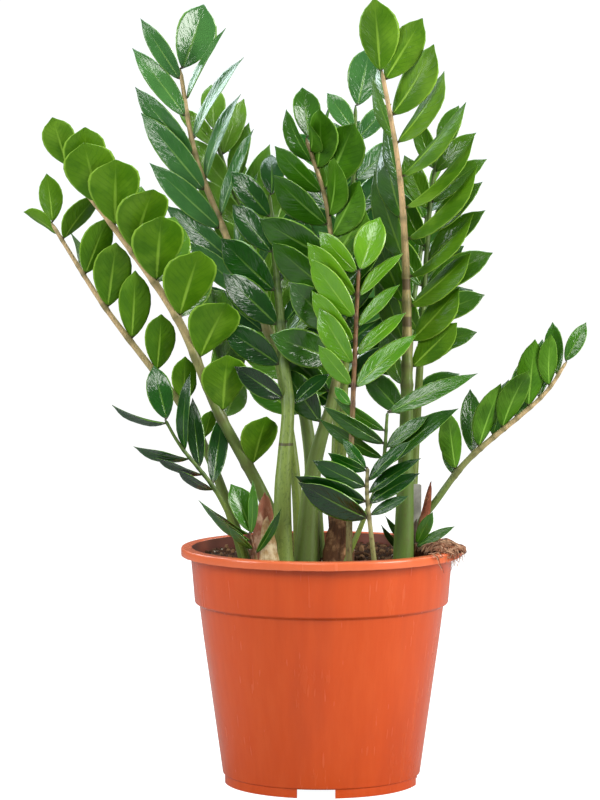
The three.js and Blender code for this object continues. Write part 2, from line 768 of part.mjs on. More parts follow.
// Strands of root bowed out of a low core, cut clear of the lip and of the soil under them.
function rootsSolid() {
  const { center, size, strands, radius } = ROOTS;
  const middle = new THREE.Vector3(...center);
  const core = new THREE.SphereGeometry(1, 10, 6).rotateX(Math.PI / 2).scale(...size);
  const lumps = core.attributes.position;
  for (let i = 0; i < lumps.count; i++) {
    const [x, y, z] = [lumps.getX(i), lumps.getY(i), lumps.getZ(i)];
    const swell = 1 + 0.12 * Math.sin(0.4 * x + 1) * Math.cos(0.35 * y) * Math.sign(z);
    lumps.setXYZ(i, x * swell, y * swell, z * swell);
  }
  const bowed = Array.from({ length: strands }, (_, i) => {
    const [turn, high] = [2 * Math.PI * draw(40 + i), 0.5 + 0.4 * draw(60 + i)];
    const way = new THREE.Vector3(Math.cos(turn), Math.sin(turn), 0);
    const across = new THREE.Vector3(-Math.sin(turn), Math.cos(turn), 0);
    const offset = size[0] * (draw(80 + i) - 0.5);
    const rings = [-0.8, -0.4, 0, 0.4, 0.8].map((s) => {
      const arch = size[2] * (high + 0.6 * (1 - s * s));
      const at = middle.clone().addScaledVector(way, s * size[0]).addScaledVector(across, offset);
      at.z += arch - 0.5 * size[2];
      return [[1, 0], [0, 1], [-1, 0], [0, -1]].map(([q, lift]) => {
        const rim = at.clone().addScaledVector(across, radius * q);
        rim.z += radius * lift;
        return rim;
      });
    });
    const ends = [-1, 1].map((s) =>
      middle.clone().addScaledVector(way, s * size[0]).addScaledVector(across, offset),
    );
    return loft(rings, ...ends);
  });
  return joined([solid(core.translate(...center)), ...bowed]).subtract(underRoots());
}

// The room that the lip and the soil take under the roots, with the clearance to them.
function underRoots() {
  const lip = POT_HEIGHT + CLEARANCE;
  const bed = SOIL.level + HEAP.height + SOIL.swell + CLEARANCE;
  const inside = RIM_RADIUS - LIP_OVERHANG - POT_WALL - 1;
  const outside = (RIM_RADIUS + CLEARANCE) / Math.cos(Math.PI / POT_SIDES);
  const profile = [
    [0, STEP_HEIGHT],
    [outside, STEP_HEIGHT],
    [outside, lip],
    [inside, lip],
    [inside, bed],
    [0, bed],
  ];
  return lathe(profile, POT_SIDES);
}

// ---- The plant ----

const pot = potSolid();
const stalks = FRONDS.map((spec) => new Stalk(spec));
const sheaths = SHEATHS.map((spec) => sheathSolid(spec));
const label = labelSolid();

// Everything that stands in the soil has its own plain hole there.
const standing = [
  ...stalks.map((stalk) => stalk.solid(CLEARANCE)),
  ...SHEATHS.map((spec) => sheathSolid(spec, SLOT)),
  labelSolid(CLEARANCE),
];
const room = joined(standing);
const soilBody = soilSolid();
const soil = soilBody.subtract(room);
const roots = largest(rootsSolid().subtract(room));
const leafy = grow(stalks, [pot, soilBody, ...sheaths, label, roots]);

const plant = new THREE.Group();
plant.add(meshOf("pot", pot, 0xde5c30, 0.35));
plant.add(meshOf("soil", soil, 0x3a2a20, 0.95));
leafy.forEach((body, i) => plant.add(meshOf(FRONDS[i].name, body, FRONDS[i].color, 0.35)));
sheaths.forEach((body, i) => plant.add(meshOf(SHEATHS[i].name, body, SHEATHS[i].color, 0.8)));
plant.add(meshOf("label", label, LABEL.color, 0.6));
plant.add(meshOf("surface_roots", roots, ROOTS.color, 0.9));

// The origin goes to the floor under the middle of the plant's bounding box.
const reach = new THREE.Box3().setFromObject(plant);
plant.position.set(-(reach.min.x + reach.max.x) / 2, -(reach.min.y + reach.max.y) / 2, 0);

const root = new THREE.Group();
root.add(plant);
export default root;
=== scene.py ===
"""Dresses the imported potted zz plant: leaflets, stalks, pot, soil, roots, dry scales and label.

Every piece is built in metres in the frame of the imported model. The routes of the stalks and the
rules by which leaflets grow on them are those of the part's own source, so each finer leaflet lies
on its own solid one.
"""

import logging
import math
import random
from dataclasses import dataclass
from enum import Enum
from functools import partialmethod

import bmesh
import bpy
import numpy as np
from mathutils import Matrix, Vector, kdtree, noise

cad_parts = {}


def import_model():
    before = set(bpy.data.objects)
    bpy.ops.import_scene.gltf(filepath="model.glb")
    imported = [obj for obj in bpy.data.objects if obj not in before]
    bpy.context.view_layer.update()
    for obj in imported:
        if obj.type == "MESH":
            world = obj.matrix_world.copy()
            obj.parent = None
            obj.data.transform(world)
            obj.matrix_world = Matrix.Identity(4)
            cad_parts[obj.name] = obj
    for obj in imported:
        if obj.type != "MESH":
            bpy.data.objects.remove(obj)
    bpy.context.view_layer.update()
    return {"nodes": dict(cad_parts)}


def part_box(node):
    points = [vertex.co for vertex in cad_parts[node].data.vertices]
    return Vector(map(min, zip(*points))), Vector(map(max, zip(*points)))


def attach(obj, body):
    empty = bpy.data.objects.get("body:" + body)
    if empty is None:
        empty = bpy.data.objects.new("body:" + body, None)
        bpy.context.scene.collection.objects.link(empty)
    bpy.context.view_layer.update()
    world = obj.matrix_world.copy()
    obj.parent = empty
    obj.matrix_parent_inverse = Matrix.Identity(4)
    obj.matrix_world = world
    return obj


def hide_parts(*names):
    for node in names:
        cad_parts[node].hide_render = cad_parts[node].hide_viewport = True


LOG = logging.getLogger("potted_plant")
MM = 0.001
BODY = "root"
# The data types of an attribute with one part and with three.
KINDS = ("FLOAT", "FLOAT_VECTOR")
COLOUR_MIX = {"data_type": "RGBA", "clamp_factor": True}
SMOOTH_STEP = {"interpolation_type": "SMOOTHSTEP", "clamp": True}

Point = tuple[float, float, float]
Tone = tuple[float, float, float]
Look = bpy.types.Material
Piece = bpy.types.Object
Mesh = bpy.types.Mesh


# ---- Node trees ----


class Field:
    """A value inside a node tree, with the usual arithmetic."""

    def __init__(self, maker: "TreeMaker", socket: bpy.types.NodeSocket, vector: bool = False) -> None:
        """Keeps the value's tree, the socket it comes out of, and whether it has three parts."""
        self.maker, self.socket, self.vector = maker, socket, vector

    @staticmethod
    def _is_vector(value: "Field | float | Point") -> bool:
        """Whether an operand has three parts."""
        return value.vector if isinstance(value, Field) else isinstance(value, tuple)

    def _join(self, operation: str, *others: "Field | float | Point") -> "Field":
        """Runs this value and others through one math node.

        Args:
            operation: The node's operation for numbers or for vectors.
            *others: The other operands.

        Returns:
            The result, a vector where an operand is one.
        """
        operands = (self, *others)
        vectors = [self._is_vector(value) for value in operands]
        kind = "ShaderNodeVectorMath" if any(vectors) else "ShaderNodeMath"
        if operation == "MULTIPLY" and any(vectors) and not all(vectors):
            arrow, number = sorted(operands, key=self._is_vector, reverse=True)
            return self.maker.run(kind, arrow, vector=True, settings={"operation": "SCALE"}, Scale=number)
        return self.maker.run(kind, *operands, vector=any(vectors), settings={"operation": operation})

    __add__ = partialmethod(_join, "ADD")
    __sub__ = partialmethod(_join, "SUBTRACT")
    __mul__ = partialmethod(_join, "MULTIPLY")
    __truediv__ = partialmethod(_join, "DIVIDE")
    __pow__ = partialmethod(_join, "POWER")
    sine = partialmethod(_join, "SINE")
    cosine = partialmethod(_join, "COSINE")
    absolute = partialmethod(_join, "ABSOLUTE")
    fraction = partialmethod(_join, "FRACT")
    at_least = partialmethod(_join, "MAXIMUM")

    def one_minus(self) -> "Field":
        """What is left of one."""
        return (self * -1.0) + 1.0

    def between(self, low: float, high: float) -> "Field":
        """How far the value has come from low to high, smoothed and held within nought and one."""
        ends = {"From_Min": low, "From_Max": high}
        return self.maker.run("ShaderNodeMapRange", self, settings=SMOOTH_STEP, **ends)

    def part(self, axis: int) -> "Field":
        """One of a vector's three parts, by its number."""
        return Field(self.maker, self.maker.node("ShaderNodeSeparateXYZ", self).outputs[axis])


class TreeMaker:
    """Adds nodes to a tree and wires them."""

    def __init__(self, tree: bpy.types.NodeTree) -> None:
        """Keeps the tree."""
        self.tree = tree

    def feed(self, socket: bpy.types.NodeSocket, value: object) -> None:
        """Gives an input socket a plain value, or links it to a field.

        Args:
            socket: The input.
            value: A Field or a plain value.
        """
        if isinstance(value, Field):
            self.tree.links.new(value.socket, socket)
        else:
            socket.default_value = value

    def wire(self, node: bpy.types.Node, **inputs: object) -> None:
        """Feeds a node's named inputs.

        Args:
            node: The node.
            **inputs: What they take, with a low line for each space in a name.
        """
        for key, value in inputs.items():
            name = key.replace("_", " ")
            self.feed(next(s for s in node.inputs if s.name == name and s.enabled), value)

    def node(
        self, kind: str, *operands: object, settings: dict[str, object] | None = None, **inputs: object
    ) -> bpy.types.Node:
        """Adds a node.

        Args:
            kind: The node's type.
            *operands: What its first inputs take, in order.
            settings: Values for its own properties.
            **inputs: What its named inputs take.

        Returns:
            The node.
        """
        node = self.tree.nodes.new(kind)
        for name, value in (settings or {}).items():
            setattr(node, name, value)
        for socket, value in zip(node.inputs, operands):
            self.feed(socket, value)
        self.wire(node, **inputs)
        return node

    def run(self, kind: str, *operands: object, vector: bool = False, **inputs: object) -> Field:
        """Adds a node and gives what comes out of its first live output."""
        node = self.node(kind, *operands, **inputs)
        return Field(self, next(s for s in node.outputs if s.enabled), vector)

    def vector(self, *parts: "Field | float") -> Field:
        """A vector from its three parts."""
        return self.run("ShaderNodeCombineXYZ", *parts, vector=True)

    def noise(self, at: Field, scale: float, detail: float = 3.0, rough: float = 0.55) -> Field:
        """Smooth noise from nought to one, by its waves in a metre and the finer waves that lie on them."""
        return self.run("ShaderNodeTexNoise", Vector=at, Scale=scale, Detail=detail, Roughness=rough)


class GeometryTree(TreeMaker):
    """A geometry node tree that makes one kind of piece from a mesh of carriers."""

    def __init__(self, name: str) -> None:
        """Starts an empty tree with a geometry input and output.

        Args:
            name: The tree's name.
        """
        super().__init__(bpy.data.node_groups.new(name, "GeometryNodeTree"))
        for way in ("INPUT", "OUTPUT"):
            self.tree.interface.new_socket("Geometry", in_out=way, socket_type="NodeSocketGeometry")
        self.start = self.node("NodeGroupInput")

    def carriers(self) -> Field:
        """The mesh that the tree starts from."""
        return Field(self, self.start.outputs[0])

    def take(self, name: str, value: float | None = None) -> Field:
        """Adds a named input: a number, a whole number or, where it has no value yet, a material.

        Args:
            name: The input's name.
            value: What it holds when nothing is set.

        Returns:
            What comes in.
        """
        kind = {float: "Float", int: "Int"}.get(type(value), "Material")
        item = self.tree.interface.new_socket(name, in_out="INPUT", socket_type="NodeSocket" + kind)
        if value is not None:
            item.default_value = value
        return Field(self, self.start.outputs[name])

    def attribute(self, name: str, vector: bool = False) -> Field:
        """A named attribute at each place, of one part or of three."""
        settings = {"data_type": KINDS[vector]}
        return self.run("GeometryNodeInputNamedAttribute", vector=vector, settings=settings, Name=name)

    def position(self) -> Field:
        """Where each point is."""
        return self.run("GeometryNodeInputPosition", vector=True)

    def store(self, mesh: Field, name: str, value: object, kind: str = "FLOAT", on: str = "POINT") -> Field:
        """The mesh with a named attribute stored on it."""
        settings = {"data_type": kind, "domain": on}
        return self.run("GeometryNodeStoreNamedAttribute", mesh, settings=settings, Name=name, Value=value)

    def finish(self, geometry: Field, material: Field) -> None:
        """Ends the tree with real meshes that hold the material."""
        real = self.run("GeometryNodeRealizeInstances", geometry)
        self.node("NodeGroupOutput", self.run("GeometryNodeSetMaterial", real, Material=material))

    def make(self, name: str, carriers: Mesh, inputs: dict[str, object]) -> Piece:
        """Runs the tree on a mesh of carriers and keeps the result as a plain mesh.

        Args:
            name: The new piece's name.
            carriers: The mesh that the tree starts from.
            inputs: Values for the tree's named inputs.

        Returns:
            The piece, with no modifier left on it.
        """
        piece = linked(name, carriers)
        modifier = piece.modifiers.new(name, "NODES")
        modifier.node_group = self.tree
        for item in self.tree.interface.items_tree:
            if item.in_out == "INPUT" and item.name in inputs:
                modifier[item.identifier] = inputs[item.name]
        settled(piece)
        return piece


# ---- Meshes and pieces ----


def linked(name: str, data: bpy.types.ID | None) -> Piece:
    """A new object in the scene.

    Args:
        name: Its name.
        data: Its mesh, lamp or camera.

    Returns:
        The object.
    """
    piece = bpy.data.objects.new(name, data)
    bpy.context.collection.objects.link(piece)
    return piece


def settled(piece: Piece) -> None:
    """Turns a piece and its modifiers into a plain mesh.

    Args:
        piece: The piece.
    """
    shown = piece.evaluated_get(bpy.context.evaluated_depsgraph_get())
    mesh = bpy.data.meshes.new_from_object(shown)
    mesh.name = piece.name
    piece.modifiers.clear()
    old, piece.data = piece.data, mesh
    bpy.data.meshes.remove(old)


def hold(mesh: Mesh, values: dict[str, object]) -> None:
    """Holds named attributes on a mesh's points.

    Args:
        mesh: The mesh.
        values: A number or a row of three for each point, by the attribute's name.
    """
    for name, column in values.items():
        array = np.array(column, np.float32)
        held = mesh.attributes.new(name, KINDS[array.ndim - 1], "POINT")
        held.data.foreach_set(("value", "vector")[array.ndim - 1], array.ravel())


def piece_of(name: str, points: list[Point], faces: list[tuple[int, ...]], smooth: bool = True) -> Piece:
    """A new piece from points and faces.

    Args:
        name: Its name.
        points: Its points, in metres.
        faces: The points of each face.
        smooth: Whether its faces are shaded smooth.

    Returns:
        The piece.
    """
    mesh = bpy.data.meshes.new(name)
    mesh.from_pydata([tuple(p) for p in points], [], faces)
    mesh.polygons.foreach_set("use_smooth", [smooth] * len(faces))
    mesh.update()
    return linked(name, mesh)


def round_piece(name: str, rings: list[list[Vector]], below: Vector, above: Vector) -> Piece:
    """A closed round piece from rings of points about an upright axis.

    Args:
        name: Its name.
        rings: The points of each ring, from the one round the lower end point to that round the upper.
        below: The lower end point, on the axis.
        above: The upper end point.

    Returns:
        The piece.
    """
    sides = len(rings[0])
    points = [p for ring in rings for p in ring] + [below, above]
    low, high = len(points) - 2, len(points) - 1
    last = low - sides
    faces = []
    for k in range(sides):
        n = (k + 1) % sides
        faces.append((low, n, k))
        faces.extend((a + k, a + n, a + sides + n, a + sides + k) for a in range(0, last, sides))
        faces.append((high, last + k, last + n))
    return piece_of(name, points, faces)


def own(piece: Piece, slot: str, *nodes: str, look: Look | None = None) -> None:
    """Hangs a piece on what it rides on and hides the solids that it stands for.

    Args:
        piece: The piece.
        slot: Not used.
        *nodes: The solids that it replaces.
        look: Its finish, where it doesn't hold one yet.
    """
    if look:
        piece.data.materials.clear()
        piece.data.materials.append(look)
    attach(piece, BODY)
    if nodes:
        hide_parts(*nodes)
    LOG.info("%s: %d faces", piece.name, len(piece.data.polygons))


# ---- Finishes ----
# Colours are screen values of 0 to 255. A share of one colour over another is a noise or a pattern
# taken between two levels, times how strongly it shows.


def shade(colour: Tone) -> tuple[float, float, float, float]:
    """A shader colour from screen values."""
    parts = (part / 255 for part in colour)
    return (*(c / 12.92 if c <= 0.04045 else ((c + 0.055) / 1.055) ** 2.4 for c in parts), 1.0)


class Shading(TreeMaker):
    """The node tree of one material, built round a single shader."""

    def __init__(self, name: str, gloss: float = 0.5) -> None:
        """Starts the material.

        Args:
            name: The material's name.
            gloss: Its specular level.
        """
        self.made = bpy.data.materials.new(name)
        self.made.use_nodes = True
        super().__init__(self.made.node_tree)
        self.tree.nodes.clear()
        self.shader = self.node("ShaderNodeBsdfPrincipled", Specular_IOR_Level=gloss)
        self.node("ShaderNodeOutputMaterial", Field(self, self.shader.outputs[0]))

    def place(self) -> Field:
        """Where the surface is, in metres."""
        return Field(self, self.node("ShaderNodeTexCoord").outputs["Object"], True)

    def sheet(self, name: str) -> Field:
        """The place on a named UV map."""
        return self.run("ShaderNodeUVMap", vector=True, settings={"uv_map": name})

    def held(self, name: str) -> Field:
        """A named attribute of the surface."""
        node = self.node("ShaderNodeAttribute", settings={"attribute_name": name})
        return Field(self, node.outputs["Fac"])

    def blend(self, share: Field, low: "Field | Tone", high: "Field | Tone") -> Field:
        """A colour between two others, the low one where the share is nought."""
        low, high = (shade(colour) if isinstance(colour, tuple) else colour for colour in (low, high))
        return self.run("ShaderNodeMix", settings=COLOUR_MIX, Factor=share, A=low, B=high)

    def layers(self, base: "Field | Tone", *coats: tuple[Field, "Field | Tone"]) -> Field:
        """Lays colours over one another.

        Args:
            base: The lowest colour.
            *coats: The share of each further colour, and the colour.

        Returns:
            The colour that shows.
        """
        for share, colour in coats:
            base = self.blend(share, base, colour)
        return base

    def dress(self, colour: Field, matte: Field, height: Field, depth: float, strength: float = 1.0) -> Look:
        """Gives the shader its colour, its roughness and a raised pattern.

        Args:
            colour: The colour.
            matte: The roughness.
            height: The pattern, from nought to one.
            depth: How high one stands, in metres.
            strength: How much of the pattern shows.

        Returns:
            The material.
        """
        bump = self.run("ShaderNodeBump", vector=True, Strength=strength, Distance=depth, Height=height)
        self.wire(self.shader, Base_Color=colour, Roughness=matte, Normal=bump, Coat_Normal=bump)
        return self.made


@dataclass(frozen=True)
class LeafFinish:
    """Waxy leaflet skin: deep and glossy above, paler and duller below, with a light margin."""

    name: str
    deep: Tone
    fresh: Tone
    rib: Tone
    below: Tone
    knuckle: Tone = (62, 60, 36)

    def material(self) -> Look:
        """Builds the material from the leaflet's own map: s along the midrib, q across.

        Returns:
            The material.
        """
        skin = Shading(self.name, gloss=0.12)
        at, sheet = skin.place(), skin.sheet("blade")
        s, q = sheet.part(0), sheet.part(1)
        off = ((q - 0.5) * 2.0).absolute()
        under, own_tone = skin.held("under"), skin.held("shade")
        varnish = under.one_minus() * 0.8 + 0.1
        skin.wire(skin.shader, Coat_Weight=varnish, Coat_Roughness=0.09, Coat_IOR=1.6)
        cloud = skin.noise(at, 40.0)
        patch = skin.noise(at, 22.0, 2.0, 0.5)
        fine = skin.noise(at, 420.0, 2.0, 0.6)
        slant = (s * 9.0) - (off * 3.0)
        crease = skin.noise(skin.vector(slant, q * 2.5, own_tone * 20.0), 1.1, 3.0, 0.6)
        wave = ((s * 11.0) - (off * 3.0) + (cloud * 1.1)).fraction()
        vein = (wave - 0.5).absolute().between(0.32, 0.5) * off.between(1.0, 0.5) * off.between(0.04, 0.2)
        rib = (off / (s * -1.0 + 1.15)).between(0.13, 0.03) * s.between(1.0, 0.2)
        tint = (own_tone * 0.9) + (cloud * 0.8) + -0.35
        upper = skin.layers(self.deep, (tint, self.fresh), (vein * 0.1, self.fresh), (rib * 0.5, self.rib))
        lower = skin.layers(
            self.below,
            (patch.between(0.45, 0.72) * 0.35, self.rib),
            (cloud.between(0.58, 0.36) * 0.5, self.deep),
            (own_tone * 0.35, self.fresh),
            (vein * 0.2, self.deep),
            (rib * 0.9, self.rib),
        )
        rim, foot = off.between(0.89, 0.97) * 0.85, s.between(0.055, 0.015)
        colour = skin.layers(upper, (under, lower), (rim, self.rib), (foot, self.knuckle))
        matte = (cloud * 0.2) + (fine * 0.1) + 0.4
        height = (rib * 0.4) + (vein * -0.1) + (cloud * 0.8) + (crease * 0.9) + (fine * 0.03)
        return skin.dress(colour, matte, height, 0.0009, 0.8)


@dataclass(frozen=True)
class StemFinish:
    """Smooth stalk skin that turns from its foot colour to its head colour, speckled and ringed.

    bands are old leaf scars: the height of each one's middle and half its width, in metres.
    """

    name: str
    foot: Tone
    head: Tone
    speck: Tone
    speckled: float
    bands: tuple[tuple[float, float], ...] = ()
    scar: Tone = (66, 50, 34)

    def material(self) -> Look:
        """Builds the material from the stalk's own height attribute.

        Returns:
            The material.
        """
        skin = Shading(self.name, gloss=0.4)
        at, high, ring = skin.place(), skin.held("along"), skin.held("node")
        cloud = skin.noise(at, 38.0, 4.0, 0.6)
        streak = skin.noise(at * (1.0, 1.0, 0.12), 620.0, 3.0, 0.6)
        spots = skin.noise(at * (1.0, 1.0, 0.55), 540.0, 2.0, 0.5)
        base = skin.layers(
            self.foot,
            ((high + (cloud * 0.3) + -0.15).between(0.36, 0.78), self.head),
            (streak.between(0.35, 0.8) * 0.35, self.speck),
            (spots.between(0.56, 0.66) * self.speckled, self.speck),
            (ring * 0.75, self.speck),
        )
        for height, reach in self.bands:
            band = (at.part(2) + (cloud * 0.002) + -(height + 0.001)).absolute().between(reach, reach * 0.7)
            base = skin.blend(band * 0.8, base, self.scar)
        height = (streak * 0.5) + (spots * 0.2) + (ring * 0.4)
        return skin.dress(base, (cloud * 0.25) + 0.3, height, 0.0005, 0.6)


@dataclass(frozen=True)
class PlasticFinish:
    """Glossy moulded plastic with faint streaks and hairlines down the wall and scuffs, with painted light:
    upright bands painted darker for the wall's uneven sheen, a painted highlight on the lip, and painted
    shade on the rougher inner side.
    """

    name: str
    main: Tone
    worn: Tone
    # The hairlines' tone, also laid in broad upright bands as painted shade for the wall's uneven sheen.
    hairline_and_shade: Tone
    # The tone of the painted shade on the pot's inner wall.
    dust_and_shade: Tone
    # The scratches' tone, also painted over the lip as a painted highlight.
    lip: Tone

    def material(self) -> Look:
        """Builds the material from the place and the inner side's own attribute.

        Returns:
            The material.
        """
        skin = Shading(self.name)
        at = skin.place()
        # Painted light: broad upright bands painted darker, standing for the uneven sheen along the wall.
        painted_sheen_bands = skin.noise(at * (1.0, 1.0, 0.08), 26.0, 3.0, 0.5)
        streak = skin.noise(at * (1.0, 1.0, 0.05), 130.0, 4.0, 0.65)
        hair = skin.noise(at * (1.0, 1.0, 0.035), 700.0, 2.0, 0.5)
        cloud = skin.noise(at, 14.0, 3.0, 0.5)
        grain = skin.noise(at, 1500.0, 2.0, 0.5)
        scratch = skin.noise(at * (1.0, 1.0, 0.025), 300.0, 1.0, 0.4)
        mark = scratch.between(0.69, 0.76) * cloud.between(0.45, 0.6)
        # Painted shade: the inner wall is painted dark for the shade inside the pot, and is made rougher too.
        painted_inner_shade = skin.held("inside") * (cloud.between(0.2, 0.6) * 0.2 + 0.75)
        colour = skin.layers(
            self.main,
            (streak.between(0.3, 0.75) * 0.35, self.worn),
            (hair.between(0.55, 0.8) * 0.1, self.hairline_and_shade),
            (painted_sheen_bands.between(0.5, 0.7) * 0.3, self.hairline_and_shade),
            (mark * 0.16, self.lip),
            # Painted highlight: the lip, from 219 mm up, is painted lighter in the lip tone.
            (at.part(2).between(0.2190, 0.2204) * 0.45, self.lip),
            (painted_inner_shade, self.dust_and_shade),
        )
        matte = (cloud * 0.12) + (streak * 0.1) + (mark * 0.2) + (painted_inner_shade * 0.3) + 0.14
        height = (streak * 0.3) + (hair * 0.05) + (grain * 0.04) + (cloud * 1.5)
        return skin.dress(colour, matte, height, 0.0006, 0.5)


@dataclass(frozen=True)
class EarthFinish:
    """Crumbly matter in three tones, for soil and for what lies on it."""

    name: str
    dark: Tone
    middle: Tone
    light: Tone
    grain: float
    depth: float = 0.002

    def material(self) -> Look:
        """Builds the material from the place and each lump's own tone.

        Returns:
            The material.
        """
        skin = Shading(self.name, gloss=0.2)
        lump = skin.noise(skin.place(), self.grain, 5.0, 0.7)
        crumb = skin.noise(skin.place(), self.grain * 6, 4.0, 0.7)
        colour = skin.layers(
            self.dark,
            (lump.between(0.35, 0.7), self.middle),
            (crumb.between(0.58, 0.75) * 0.7, self.light),
            (skin.held("shade") * 0.5, self.light),
        )
        return skin.dress(colour, (lump * 0.2) + 0.78, (lump * 0.6) + (crumb * 0.5), self.depth)


@dataclass(frozen=True)
class HuskFinish:
    """Dry papery scale: fine lengthwise fibres and blotches."""

    name: str
    main: Tone
    pale: Tone
    dark: Tone

    def material(self) -> Look:
        """Builds the material from the scale's own map.

        Returns:
            The material.
        """
        skin = Shading(self.name, gloss=0.3)
        sheet = skin.sheet("scale")
        fibre = skin.noise(sheet * (2.0, 60.0, 1.0), 1.0, 5.0, 0.75)
        blotch = skin.noise(skin.place(), 90.0, 4.0, 0.65)
        colour = skin.layers(
            self.dark,
            (fibre.between(0.3, 0.7), self.main),
            (blotch.between(0.45, 0.7) * 0.8, self.pale),
            ((fibre * blotch).between(0.3, 0.45) * 0.7, self.pale),
            (sheet.part(0).between(0.7, 1.0) * 0.4, self.dark),
        )
        return skin.dress(colour, (blotch * 0.3) + 0.5, (fibre * 0.8) + (blotch * 0.3), 0.0012)


@dataclass(frozen=True)
class LabelFinish:
    """Grey plastic, dusty and scuffed, with one coloured edge."""

    name: str
    main: Tone
    pale: Tone
    worn: Tone
    edge: Tone

    def material(self) -> Look:
        """Builds the material from the place and how far across the plate it is.

        Returns:
            The material.
        """
        skin = Shading(self.name)
        at = skin.place()
        dust_and_shade = skin.noise(at, 120.0, 4.0, 0.6)
        scuff = skin.noise(at * (1.0, 1.0, 0.1), 900.0, 3.0, 0.6)
        colour = skin.layers(
            self.main,
            (dust_and_shade.between(0.35, 0.7), self.pale),
            (scuff.between(0.6, 0.75) * 0.5, self.worn),
            (skin.held("across").between(0.2, 0.15), self.edge),
        )
        return skin.dress(colour, (dust_and_shade * 0.3) + 0.35, scuff, 0.0002)


class Leaf(Enum):
    """The leaflet tones."""

    DEEP = LeafFinish("leaf_deep", (0, 34, 0), (22, 86, 0), (122, 172, 60), (52, 98, 6))
    MID = LeafFinish("leaf_mid", (10, 56, 0), (62, 120, 8), (132, 180, 68), (72, 120, 16))
    TEAL = LeafFinish("leaf_teal", (14, 68, 30), (72, 128, 56), (140, 184, 88), (102, 148, 42))
    SAGE = LeafFinish("leaf_sage", (32, 84, 0), (82, 130, 12), (144, 186, 62), (82, 126, 12))
    FRESH = LeafFinish("leaf_fresh", (56, 112, 12), (116, 164, 46), (160, 200, 96), (104, 150, 46))
    BRIGHT = LeafFinish("leaf_bright", (50, 118, 2), (112, 168, 24), (164, 206, 84), (104, 154, 36))


class Stem(Enum):
    """The stalk skins."""

    OLIVE = StemFinish("stem_olive", (124, 142, 62), (102, 126, 60), (54, 80, 32), 0.4)
    TAN = StemFinish("stem_tan", (106, 128, 60), (208, 178, 132), (96, 96, 54), 0.35)
    RINGED = StemFinish("stem_ringed", (124, 144, 66), (104, 128, 60), (54, 80, 32), 0.4, ((0.332, 0.0016),))
    SCARRED = StemFinish(
        "stem_scarred", (92, 120, 50), (208, 172, 126), (92, 92, 50), 0.4, ((0.482, 0.006), (0.447, 0.0055))
    )
    PALE = StemFinish("stem_pale", (140, 138, 84), (186, 178, 126), (76, 72, 44), 0.5)
    RUSSET = StemFinish("stem_russet", (116, 108, 62), (136, 98, 66), (70, 44, 32), 0.7)


class Husk(Enum):
    """The dry scales."""

    RED = HuskFinish("husk_red", (190, 126, 94), (226, 190, 156), (140, 78, 56))
    STRAW = HuskFinish("husk_straw", (216, 186, 130), (238, 222, 184), (160, 112, 66))
    BROWN = HuskFinish("husk_brown", (128, 84, 52), (188, 142, 100), (60, 34, 20))
    GREY = HuskFinish("husk_grey", (112, 92, 76), (160, 142, 122), (62, 48, 40))
    RUST = HuskFinish("husk_rust", (176, 100, 64), (216, 150, 108), (112, 52, 34))


POT_PLASTIC = PlasticFinish(
    "pot_plastic", (208, 76, 18), (222, 96, 38), (180, 60, 18), (92, 42, 26), (244, 136, 92)
)
SOIL_MIX = EarthFinish("soil_mix", (30, 18, 12), (66, 42, 28), (118, 84, 60), 90.0)
CRUMB = EarthFinish("soil_crumb", (34, 21, 14), (78, 50, 34), (116, 80, 56), 160.0)
BARK = EarthFinish("bark_chip", (58, 36, 24), (112, 76, 50), (160, 122, 86), 140.0, 0.001)
GRAIN = EarthFinish("pale_grain", (140, 124, 104), (192, 180, 160), (226, 218, 202), 150.0)
ROOT_SKIN = EarthFinish("root_skin", (84, 44, 30), (150, 92, 64), (234, 192, 158), 200.0, 0.0004)
# Painted shade: the core under the root strands has dark tones for the shade between them.
ROOT_SHADE = EarthFinish("root_shade", (44, 24, 18), (82, 50, 36), (122, 82, 60), 180.0, 0.001)
LABEL_PLASTIC = LabelFinish(
    "label_plastic", (186, 182, 178), (216, 212, 206), (112, 104, 92), (206, 88, 40)
)


# ---- The fronds' own plan, in millimetres round the pot's axis ----


@dataclass(frozen=True)
class Rank:
    """A row of leaflets along one side of a stalk.

    A value given once holds for the whole row, those given twice are near its foot and near its
    tip, and those given three times are at its foot, halfway and at its tip. Angles are in degrees.
    """

    count: int
    span: tuple[float, ...]
    lengths: tuple[float, ...]
    slender: float
    splay: tuple[float, ...]
    around: tuple[float, ...]
    roll: tuple[float, ...]
    scatter: float


def end(length: float, slender: float, splay: float, around: float, roll: float) -> Rank:
    """The single leaflet that ends a stalk."""
    return Rank(1, (1,), (length,), slender, (splay,), (around,), (roll,), 0)


@dataclass(frozen=True)
class Frond:
    """One stalk with its leaflets, by the name of its solid."""

    name: str
    leaf: Leaf
    stem: Stem
    stalk: tuple[float, float, float]
    upper: tuple[float, float, float]
    route: tuple[Point, ...]
    ranks: tuple[Rank, ...]


